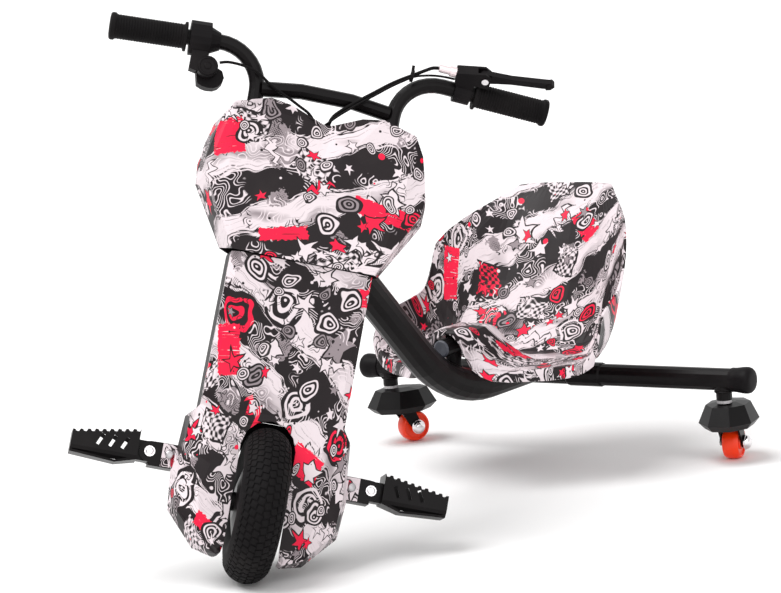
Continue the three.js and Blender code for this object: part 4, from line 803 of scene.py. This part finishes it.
@dataclass
class Covers:
    """Printed covers of the front and the seat, the black rear shell, and a black wall behind the tyre's top
    that is painted shade in the arch.
    """

    crease_mm: float = 3.0
    face_mm: float = 95.0
    wrap_mm: float = 130.0
    bolster_mm: float = 120.0
    bolster_stretch: float = 1.2
    # Place and hollow of the black wall that is painted shade in the arch above the tyre
    shade_wall_ahead_mm: float = -19.0
    shade_wall_hollow_mm: float = 38.4
    tyre_ring_mm: float = 73.8

    def front_place(self, shader: Shader) -> tuple[Field, Field]:
        """Print coordinates on the steered covers: across the front and up, run on round the sides.

        Args:
            shader: tree of the print.

        Returns:
            The two coordinates.
        """
        across, forward, up = (FRONT.to_3x3() @ Vector(axis) for axis in ((1, 0, 0), (0, -1, 0), (0, 0, 1)))
        x = shader.along(across, FRONT_ORIGIN)
        depth = shader.along(forward, FRONT_ORIGIN) - self.face_mm
        return x - depth * (x / self.wrap_mm), shader.along(up, FRONT_ORIGIN)

    def seat_place(self, shader: Shader) -> tuple[Field, Field]:
        """Print coordinates on the seat: across and up its bolsters, and along the pan and up the back.

        Args:
            shader: tree of the print.

        Returns:
            The two coordinates.
        """
        origin = Vector((0.0, AXLE_Y, 0.0))
        x = shader.along(Vector((1.0, 0.0, 0.0)), origin)
        beyond = (x.size() - self.bolster_mm).most(0.0) * self.bolster_stretch
        return x + beyond * x.math("SIGN"), shader.along(Vector((0.0, 1.0, 0.55)), origin)

    def build(self) -> None:
        """Dresses the covers."""
        shield = StreetPrint("print_shield", 24.0, 44.0, (310.0, 120.0), (
            Slab(-128, 196, 22, 26, 20), Slab(96, 128, 46, 12, -8), Slab(-30, 74, 30, 9, 14)))
        panel = StreetPrint("print_panel", -31.0, 46.0, (40.0, 660.0), (
            Slab(-88, -92, 18, 34, 8), Slab(66, -226, 28, 20, -24), Slab(92, 8, 18, 12, 10),
            Slab(-86, -330, 20, 10, -30)))
        seat = StreetPrint("print_seat", 37.0, 48.0, (900.0, 410.0), (
            Slab(215, 40, 46, 16, 38), Slab(-40, -60, 34, 12, -20), Slab(-190, 130, 22, 38, 12),
            Slab(60, 250, 16, 30, 40)))
        plans = (("upper_shield", shield, self.front_place, self.crease_mm, 14.0),
                 ("front_panel", panel, self.front_place, self.crease_mm, 14.0),
                 ("seat_shell", seat, self.seat_place, 1.2, 40.0))
        for node, design, place, crease_mm, crease_deg in plans:
            dress(frame["nodes"][node], design.material(place), 60.0)
            softened(node, crease_mm, crease_deg)
            log.info("printed %s", node)
        dress(frame["nodes"]["back_cover"], paint(Paint.PLASTIC), 40.0)
        softened("back_cover", 1.5, 30.0, 2)
        # A black wall behind the tyre's top, as painted shade in the arch
        self.shade_wall()
        log.info("back_cover and arch_shade_wall")

    def shade_wall(self) -> None:
        """Builds a black wall, hollowed round the tyre, that closes the view through the arch: painted shade
        in the gap above the tyre.
        """
        half, thick, low, high = 52.0, 1.6, -240.6, -168.6
        middle = front_point(0.0, self.shade_wall_ahead_mm, (low + high) / 2)
        wall = added(bpy.ops.mesh.primitive_cube_add, size=1.0, location=middle)
        wall.scale = Vector((2 * half, thick, high - low)) * MM
        bpy.ops.object.transform_apply(location=True, scale=True)
        tool = added(bpy.ops.mesh.primitive_torus_add, major_radius=self.tyre_ring_mm * MM,
                     minor_radius=self.shade_wall_hollow_mm * MM, major_segments=96, minor_segments=40,
                     location=front_point(*WHEEL_AT_MM), rotation=(0.0, QUARTER, 0.0))
        applied(wall, "BOOLEAN", operation="DIFFERENCE", object=tool)
        removed(tool)
        settle(wall, FRONT, "arch_shade_wall")
        dress(wall, paint(Paint.PLASTIC), 30.0)
        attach(wall, "front")


@dataclass
class FrontTyre:
    """Street tyre: a smooth carcass with rows of low tread blocks."""

    radius_mm: float = 106.0
    section_mm: float = 32.2
    rows: tuple[Triple, ...] = (
        (-57.0, 7.0, 7.0), (-41.5, 8.4, 7.8), (-25.0, 8.6, 8.4), (-8.3, 8.4, 9.0),
        (8.3, 8.4, 9.0), (25.0, 8.6, 8.4), (41.5, 8.4, 7.8), (57.0, 7.0, 7.0))
    blocks: int = 60
    height_mm: float = 2.0
    rise_mm: float = 0.1
    edge_mm: float = 0.6
    skew_deg: float = 14.0

    def carcass(self) -> bpy.types.Object:
        """Smooth ring about local X."""
        return added(bpy.ops.mesh.primitive_torus_add, major_radius=(self.radius_mm - self.section_mm) * MM,
                     minor_radius=self.section_mm * MM, major_segments=120, minor_segments=40,
                     rotation=(0.0, QUARTER, 0.0))

    def row(self, angle_deg: float, width_mm: float, length_mm: float, stagger: float) -> bpy.types.Object:
        """Builds one tread block on the top of the ring and repeats it all round.

        Args:
            angle_deg: place of the row round the section, from the crown.
            width_mm: width of a block across the tyre.
            length_mm: length of a block along the tyre.
            stagger: turn of the row round the wheel, in steps of one block.

        Returns:
            The whole row as one object.
        """
        lean = math.radians(angle_deg)
        reach = (self.section_mm + self.rise_mm) * MM
        height = (self.radius_mm - self.section_mm) * MM + reach * math.cos(lean)
        cube = added(bpy.ops.mesh.primitive_cube_add, size=1.0)
        cube.scale = (width_mm * MM, length_mm * MM, self.height_mm * MM)
        bpy.ops.object.transform_apply(scale=True)
        applied(cube, "BEVEL", width=self.edge_mm * MM, segments=2)
        skew = Matrix.Rotation(math.radians(math.copysign(self.skew_deg, angle_deg)), 4, "Z")
        middle = Matrix.Translation(Vector((reach * math.sin(lean), 0.0, height)))
        settle(cube, middle @ Matrix.Rotation(lean, 4, "Y") @ skew, "tread_row")
        settle(cube, Matrix.Rotation(math.tau * stagger / self.blocks, 4, "X"), "tread_row")
        pivot = added(bpy.ops.object.empty_add, rotation=(math.tau / self.blocks, 0.0, 0.0))
        applied(cube, "ARRAY", count=self.blocks, use_relative_offset=False, use_object_offset=True,
                offset_object=pivot)
        removed(pivot)
        return cube

    def build(self) -> None:
        """Builds the tyre in place of the CAD ring."""
        ring = self.carcass()
        rows = [self.row(*row, 0.5 * (index % 2)) for index, row in enumerate(self.rows)]
        select_only(ring, *rows)
        bpy.ops.object.join()
        settle(ring, FRONT @ Matrix.Translation(front_point(*WHEEL_AT_MM)), "tyre_tread")
        dress(ring, paint(Paint.TYRE), 30.0)
        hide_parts("tyre")
        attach(ring, "wheel")
        log.info("tyre with %d rows of %d blocks", len(self.rows), self.blocks)


@dataclass
class Grip:
    """Ribbed rubber grip with a flange and a rounded end."""

    side: Side
    length_mm: float = 109.0
    radius_mm: float = 16.9
    rib_mm: float = 0.6
    ribs: int = 24
    plain_mm: float = 16.0
    first_rib_mm: float = 7.0
    flange: Pairs = (
        (11.3, 0.0), (20.4, 0.0), (21.0, 0.6), (21.0, 3.2), (20.2, 4.0), (17.4, 4.6))
    cap: Pairs = (
        (18.6, -5.5), (19.4, -4.5), (19.5, -1.5), (18.9, 0.8), (17.0, 2.2), (12.0, 2.9), (5.5, 3.0),
        (4.5, 2.2), (0.0, 2.2))
    cap_beyond_mm: float = 3.0
    bar_inner_mm: Triple = (98.5, 33.0, 347.0)
    bar_outer_mm: Triple = (313.0, 33.0, 335.5)

    def profile(self) -> list[tuple[float, float]]:
        """Profile from the flange outwards along the bar.

        Returns:
            Radius and height pairs.
        """
        start = self.cap_beyond_mm - self.length_mm
        points = [(radius, start + height) for radius, height in self.flange]
        step = (self.length_mm - self.plain_mm) / self.ribs
        crest = self.radius_mm + self.rib_mm
        for rib in range(self.ribs):
            low = start + self.first_rib_mm + rib * step
            points += [(self.radius_mm, low), (self.radius_mm, low + step * 0.3), (crest, low + step * 0.5),
                       (crest, low + step * 0.85)]
        return [*points, *self.cap]

    def build(self) -> None:
        """Builds the grip in place of the CAD one."""
        obj = turned(self.profile(), 56)
        outer, inner = (front_point(self.side.sign * x, n, t)
                        for x, n, t in (self.bar_outer_mm, self.bar_inner_mm))
        settle(obj, FRONT @ aimed(outer, outer - inner), f"grip_rubber_{self.side.label}")
        dress(obj, paint(Paint.RUBBER), 32.0)
        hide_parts(f"grip_{self.side.label}")
        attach(obj, "front")
        log.info("grip %s", self.side.label)


@dataclass
class SocketScrew:
    """Button-head screw with a six-sided socket; its head stands on the place."""

    name: str
    place: Matrix
    body: str
    radius_mm: float
    height_mm: float
    socket_mm: float
    shank_mm: float
    choice: Paint = Paint.ZINC
    slot: str = "zinc"
    crown: Pairs = (
        (0.94, 0.0), (1.0, 0.25), (0.95, 0.5), (0.8, 0.78), (0.6, 0.94), (0.45, 1.0), (0.0, 1.0))

    def build(self) -> None:
        """Builds the screw."""
        r, h = self.radius_mm, self.height_mm
        shank = [(0.0, -self.shank_mm), (r * 0.5, -self.shank_mm), (r * 0.5, 0.0)]
        head = turned([*shank, *((r * out, h * up) for out, up in self.crown)], 32)
        tool = added(bpy.ops.mesh.primitive_cylinder_add, vertices=6, radius=self.socket_mm * MM,
                     depth=h * MM, location=(0.0, 0.0, 0.95 * h * MM))
        applied(head, "BOOLEAN", operation="DIFFERENCE", object=tool)
        removed(tool)
        settle(head, self.place, self.name)
        dress(head, paint(self.choice), 34.0)
        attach(head, self.body)


@dataclass(frozen=True)
class Cord:
    """Rubber-sleeved cord between two places of the front, along the route of its CAD solid."""

    node: str
    diameter_mm: float
    length_mm: float
    route: tuple[Triple, ...]
    steps: int = 6

    def line(self) -> list[Vector]:
        """Points of the smooth curve through the route, in the row frame.

        Returns:
            The points from end to end.
        """
        knots = [FRONT @ front_point(*point) for point in self.route]
        knots = [2 * knots[0] - knots[1], *knots, 2 * knots[-1] - knots[-2]]
        line = []
        for a, b, c, d in zip(knots, knots[1:], knots[2:], knots[3:]):
            before, here, after = ((q - p).length ** 0.5 for p, q in ((a, b), (b, c), (c, d)))
            leave = ((b - a) / before - (c - a) / (before + here) + (c - b) / here) * here
            reach = ((c - b) / here - (d - b) / (here + after) + (d - c) / after) * here
            square, cube = 3 * (c - b) - 2 * leave - reach, 2 * (b - c) + leave + reach
            for t in (step / self.steps for step in range(self.steps)):
                line.append(b + leave * t + square * t ** 2 + cube * t ** 3)
        return [*line, knots[-2]]

    def build(self) -> None:
        """Builds the cord in place of the CAD one."""
        line = self.line()
        data = bpy.data.curves.new(f"{self.node}_sleeve", "CURVE")
        data.dimensions = "3D"
        data.bevel_depth = self.diameter_mm * MM / 2
        data.bevel_resolution = 4
        data.use_fill_caps = True
        spline = data.splines.new("POLY")
        spline.points.add(len(line) - 1)
        for point, place in zip(spline.points, line):
            point.co = (*place, 1.0)
        sleeve = bpy.data.objects.new(f"{self.node}_sleeve", data)
        bpy.context.collection.objects.link(sleeve)
        data.materials.append(paint(Paint.RUBBER))
        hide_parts(self.node)
        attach(sleeve, "front")
        log.info("cord %s", self.node)


CORDS: tuple[Cord, ...] = (
    Cord("brake_cable", 5.0, 722.4, (
        (148.4, 58.4, 362.1), (140, 57.6, 360.6), (132, 56, 356.5), (116, 52.5, 347), (99, 52, 336.5),
        (84, 51.5, 326), (66, 51, 311.5), (50, 50.8, 298.5), (34, 51.5, 285), (21, 53, 273), (12, 55, 262),
        (8, 57, 250), (6, 58, 236), (6, 58, 200), (6, 58, 100), (6, 58, 0), (6, 58, -100), (7, 58, -148),
        (18, 57, -164), (33, 55, -172), (38.6, 52, -186), (38.8, 50, -205), (38.8, 47, -235),
        (38.8, 43, -262), (38.8, 41, -272))),
    Cord("brake_switch_wire", 3.2, 436.6, (
        (173.4, 56, 351.5), (160, 56.6, 351.6), (146, 57, 350.6), (132, 57, 348), (116, 56.8, 343),
        (99, 56.4, 332), (84, 56, 321), (66, 55.6, 306), (50, 55.4, 293), (34, 56, 279), (20, 58, 266),
        (9, 60.5, 254), (0, 62.5, 243), (-3, 63.5, 225), (-3, 63.5, 150), (-3, 62, 90), (-3, 59, 50),
        (-3, 55, 35), (-3, 49, 30), (-3, 42.4, 30))),
    Cord("throttle_lead", 4.0, 391.8, (
        (-156.5, 50, 309), (-146, 50.5, 312), (-129, 51, 312), (-116, 51, 310), (-102, 51, 306),
        (-82, 51, 292.5), (-66, 51.5, 284), (-51, 52, 277), (-36, 53, 269), (-22, 54.5, 261),
        (-14, 56.5, 251), (-12, 58, 238), (-12, 58, 200), (-12, 58, 150), (-12, 58, 90), (-12, 57.5, 50),
        (-12, 54, 34), (-12, 49, 30), (-12, 45.5, 30), (-12, 42.5, 30))),
)


@dataclass
class Casters:
    """Orange wheels, bright domed nuts and softened hoods."""

    wheel_mm: float = 26.0
    half_mm: float = 13.0
    trail_mm: float = 36.0
    dome: Pairs = (
        (3.6, 17.8), (11.2, 17.8), (12.0, 18.6), (12.0, 20.6), (11.0, 21.0), (10.4, 23.6), (8.6, 25.8),
        (6.0, 27.2), (3.0, 27.7), (0.0, 27.8), (0.0, 25.2), (3.6, 25.2), (3.6, 17.8))

    def axle(self, side: Side) -> Matrix:
        """Frame of the wheel's axle, with Z along it."""
        centre = Vector((0.0, self.trail_mm, self.wheel_mm)) * MM
        return side.caster @ Matrix.Translation(centre) @ Matrix.Rotation(QUARTER, 4, "Y")

    def wheel(self, side: Side) -> None:
        """Builds a wheel with a rounded tread and a recessed hub.

        Args:
            side: side of the trike.
        """
        r, w = self.wheel_mm, self.half_mm
        half = [(3.3, -w), (10.0, -w), (10.6, -w + 1.0), (11.0, -w + 2.4), (20.0, -w + 2.4), (20.6, -w + 0.6),
                (22.0, -w), (23.6, -w + 0.7), (r - 1.1, -w + 3.2), (r - 0.25, -w + 6.2), (r, -3.0)]
        other = [(radius, -height) for radius, height in reversed(half)]
        obj = turned([*half, *other, half[0]], 64)
        settle(obj, self.axle(side), f"caster_tread_{side.label}")
        dress(obj, paint(Paint.ORANGE), 34.0)
        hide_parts(f"caster_wheel_{side.label}")
        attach(obj, f"caster_wheel_{side.label}")

    def nut(self, side: Side) -> None:
        """Builds the domed cover of the axle's end, always on the rider's left of the caster.

        Args:
            side: side of the trike.
        """
        obj = turned(self.dome, 48)
        settle(obj, self.axle(side), f"caster_dome_{side.label}")
        dress(obj, paint(Paint.CHROME), 28.0)
        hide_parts(f"caster_nut_{side.label}")
        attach(obj, f"caster_{side.label}")

    def build(self) -> None:
        """Builds both casters' bright pieces."""
        for side in Side:
            self.wheel(side)
            self.nut(side)
            softened(f"caster_shroud_{side.label}", 1.6, 12.0, 3)
            softened(f"caster_fork_{side.label}", 0.8, 30.0, 2)
            log.info("caster %s", side.label)


@dataclass
class EndCap:
    """Flared plastic cap on the rear axle tube."""

    side: Side
    profile: Pairs = (
        (17.8, 331.0), (18.6, 331.0), (18.9, 331.6), (18.9, 338.0), (19.6, 344.0), (20.5, 350.0),
        (20.8, 355.0), (20.6, 359.0), (19.6, 362.4), (17.4, 364.9), (13.6, 366.4), (8.0, 366.9), (0.0, 367.0))

    def build(self) -> None:
        """Builds the cap in place of the CAD one."""
        obj = turned(self.profile, 64)
        outward = Matrix.Rotation(self.side.sign * QUARTER, 4, "Y")
        axle = Matrix.Translation(Vector((0.0, AXLE_Y, AXLE_HEIGHT)))
        settle(obj, axle @ outward, f"axle_cap_{self.side.label}")
        dress(obj, paint(Paint.PLASTIC), 40.0)
        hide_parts(f"axle_end_cap_{self.side.label}")
        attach(obj, "frame")
        log.info("end cap %s", self.side.label)


@dataclass
class ThrottleFace:
    """Round face with a dished ring and a screw on the throttle's hub."""

    radius_mm: float = 13.6
    hub_mm: Triple = (-172.0, 47.0, 302.0)

    def build(self) -> None:
        """Builds the face on the hub's front."""
        r = self.radius_mm
        obj = turned([(0.0, 0.05), (r, 0.05), (r, 1.0), (r - 0.8, 1.8), (r - 2.6, 1.9), (r - 3.4, 1.0),
                      (r - 8.2, 0.9), (r - 8.8, 1.6), (r - 9.6, 2.2), (0.0, 2.3)], 48)
        settle(obj, FRONT @ aimed(front_point(*self.hub_mm), AHEAD), "throttle_face")
        dress(obj, paint(Paint.PLASTIC), 34.0)
        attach(obj, "front")
        log.info("throttle face")


@dataclass
class Details:
    """Small fixed fittings: screws and weld beads."""

    peg_level_mm: float = -240.0
    shell_spots_mm: Pairs = (
        (-82.0, 30.0), (82.0, 30.0), (-84.0, -150.0), (84.0, -150.0))
    plate_spots_mm: Pairs = (
        (-104.0, 80.0), (104.0, 80.0), (-118.0, 214.0), (118.0, 214.0))
    plate_back_mm: float = 45.95
    socket_low: float = 0.1145
    upright_mm: Triple = (97.5, 33.0, 208.4)

    @staticmethod
    def shell_back_mm(level_mm: float) -> float:
        """How far ahead the rear shell's sloping back stands at a level, less a little for the screw."""
        return 9.0 - (48.0 - level_mm) / 216.0 * 29.0 - 0.1

    def screws(self) -> list[SocketScrew]:
        """Screws of the peg brackets, the rear shell and the shield's back plate.

        Returns:
            The screws, not built yet.
        """
        found = []
        for side in Side:
            tab, peg = (FRONT @ aimed(front_point(x * side.sign, n, self.peg_level_mm), AHEAD)
                        for x, n in ((127.0, 18.3), (155.0, 19.35)))
            found.append(SocketScrew(f"tab_screw_{side.label}", tab, "front", 6.4, 3.4, 2.8, 0.6))
            found.append(SocketScrew(
                f"peg_screw_{side.label}", peg, "front", 5.4, 1.8, 2.6, 0.2, Paint.CHROME, "chrome"))
        rear = [("shell", x, self.shell_back_mm(t), t) for x, t in self.shell_spots_mm]
        rear += [("plate", x, self.plate_back_mm, t) for x, t in self.plate_spots_mm]
        for index, (part, *spot) in enumerate(rear):
            place = FRONT @ aimed(front_point(*spot), BEHIND)
            found.append(SocketScrew(f"{part}_screw_{index % 4 + 1}", place, "front", 4.4, 2.2, 1.8, 0.5))
        return found

    @staticmethod
    def bead(name: str, place: Matrix, radius_mm: float, thick_mm: float, body: str) -> None:
        """Builds one ring of weld round a joint.

        Args:
            name: name of the ring.
            place: its middle, with Z along the tube.
            radius_mm: radius of the ring.
            thick_mm: radius of its section.
            body: body that it rides on.
        """
        obj = added(bpy.ops.mesh.primitive_torus_add, major_radius=radius_mm * MM, minor_radius=thick_mm * MM,
                    major_segments=72, minor_segments=10)
        settle(obj, place, name)
        dress(obj, paint(Paint.FRAME), 60.0)
        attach(obj, body)

    def build(self) -> None:
        """Builds the fittings."""
        screws = self.screws()
        for screw in screws:
            screw.build()
        for side in Side:
            place = Matrix.Translation(Vector((CASTER_X * side.sign, AXLE_Y, self.socket_low)))
            self.bead(f"socket_weld_{side.label}", place, 13.4, 1.7, "frame")
            x, n, t = self.upright_mm
            foot = FRONT @ Matrix.Translation(front_point(x * side.sign, n, t))
            self.bead(f"upright_weld_{side.label}", foot, 11.8, 1.5, "front")
        log.info("%d screws and the weld beads", len(screws))


@dataclass
class Studio:
    """Pale floor, soft light and the photo's camera."""

    eye: Triple = (2.21563, -3.13296, 0.88476)
    yaw_deg: float = 35.24
    pitch_deg: float = 8.25
    roll_deg: float = 4.60
    lens: float = 121.2
    floor_half: float = 40.0
    floor_drop: float = 0.0002
    lamps: tuple[tuple[str, float, float, Triple], ...] = (
        ("key", 2.3, 38.0, (24.0, -16.0, 0.0)), ("fill", 0.8, 60.0, (58.0, 0.0, 48.0)))
    sky_colour: tuple[float, float, float, float] = (1.0, 0.985, 0.98, 1.0)
    sky_strength: float = 0.62

    def camera(self) -> None:
        """Places the camera from the fitted angles."""
        yaw, pitch, roll = (math.radians(a) for a in (self.yaw_deg, self.pitch_deg, self.roll_deg))
        back = Vector((math.sin(yaw) * math.cos(pitch), -math.cos(yaw) * math.cos(pitch), math.sin(pitch)))
        right = Vector((math.cos(yaw), math.sin(yaw), 0.0))
        up = back.cross(right)
        across = math.cos(roll) * right - math.sin(roll) * up
        upright = math.sin(roll) * right + math.cos(roll) * up
        turned_to = Matrix((across, upright, back)).transposed().to_4x4()
        camera = added(bpy.ops.object.camera_add)
        camera.matrix_world = Matrix.Translation(self.eye) @ turned_to
        camera.data.lens = self.lens
        camera.data.sensor_width = 36.0
        camera.data.sensor_fit = "HORIZONTAL"
        camera.data.clip_end = 200.0
        bpy.context.scene.camera = camera

    def floor(self) -> None:
        """Large pale floor just under the wheels."""
        obj = added(bpy.ops.mesh.primitive_plane_add, size=2 * self.floor_half,
                    location=(0.0, 0.0, -self.floor_drop))
        bpy.ops.object.transform_apply(location=True)
        obj.name = "studio_floor"
        shader = Shader(bpy.data.materials.new("pale_floor"))
        cloud = shader.noise(shader.where(), 1 / 900, 2.0)
        tone = shader.mix(cloud, linear("#f6f6f6"), linear("#fafafa"))
        obj.data.materials.append(shader.surface(Base_Color=tone, Roughness=0.9, Specular_IOR_Level=0.0))

    def light(self) -> None:
        """Soft key from above left and wide fill."""
        for name, strength, size_deg, turn_deg in self.lamps:
            lamp = added(bpy.ops.object.light_add, type="SUN", rotation=[math.radians(a) for a in turn_deg])
            lamp.name = f"{name}_light"
            lamp.data.energy = strength
            lamp.data.angle = math.radians(size_deg)

    def sky(self) -> None:
        """Even sky that is plain white to the camera, in reflections and through clear things."""
        shader = Shader(bpy.data.worlds.new("studio_sky"))
        bpy.context.scene.world = shader.owner
        ray = shader.add("LightPath", {}).outputs
        shown = Field(shader, ray["Is Camera Ray"])
        for kind in ("Is Glossy Ray", "Is Transmission Ray"):
            shown = shown.math("ADD", Field(shader, ray[kind]), clamp=True)
        lit = shader.add("Background", {"Color": self.sky_colour, "Strength": self.sky_strength})
        seen = shader.add("Background", {"Color": (1.0, 1.0, 1.0, 1.0), "Strength": 1.0})
        mixed = shader.add("MixShader", {0: shown, 1: lit.outputs[0], 2: seen.outputs[0]})
        shader.add("OutputWorld", {"Surface": mixed.outputs[0]})

    def build(self) -> None:
        """Sets up camera, floor, light and colour."""
        self.camera()
        self.floor()
        self.light()
        self.sky()
        bpy.context.scene.view_settings.view_transform = "Standard"
        log.info("studio")


PAINT_OF_SLOT: dict[str, Paint] = {
    "frame_black": Paint.FRAME,
    "plastic_black": Paint.PLASTIC,
    "rubber_black": Paint.RUBBER,
    "tyre_black": Paint.TYRE,
    "caster_orange": Paint.ORANGE,
    "zinc": Paint.ZINC,
    "chrome": Paint.CHROME,
    "battery_wrap": Paint.BATTERY,
    "controller_case": Paint.CASE,
    "plug_grey": Paint.PLUG,
}


MACHINED: tuple[str, ...] = (
    "fork", "upper_yoke", "peg_bracket_left", "peg_bracket_right", "peg_left", "peg_right", "brake_bracket",
    "brake_lever", "throttle_housing", "throttle_lever", "seat_bracket", "battery", "controller")


def dress_frame() -> None:
    """Gives each carried-over CAD node the finish of its slot and softens the machined ones."""
    slots = {part["node"]: part["material_slot"] for part in frame["record"]["subparts"]}
    for node, obj in frame["nodes"].items():
        choice = PAINT_OF_SLOT.get(slots[node])
        if node.startswith("caster_shroud"):
            choice = Paint.GLOSS
        if node == "brake_adjuster":
            choice = Paint.PIN
        if choice is not None:
            dress(obj, paint(choice), 50.0 if slots[node] == "rubber_black" else 36.0)
    for node in MACHINED:
        softened(node, 1.0, 32.0, 2)
    log.info("%d CAD nodes", len(slots))


def main() -> None:
    """Builds the looks piece by piece."""
    logging.basicConfig(level=logging.INFO, format="%(name)s: %(message)s")
    dress_frame()
    for cord in CORDS:
        cord.build()
    Covers().build()
    FrontTyre().build()
    for side in Side:
        Grip(side).build()
        EndCap(side).build()
    Casters().build()
    ThrottleFace().build()
    Details().build()
    Studio().build()


if __name__ == "__main__":
    main()
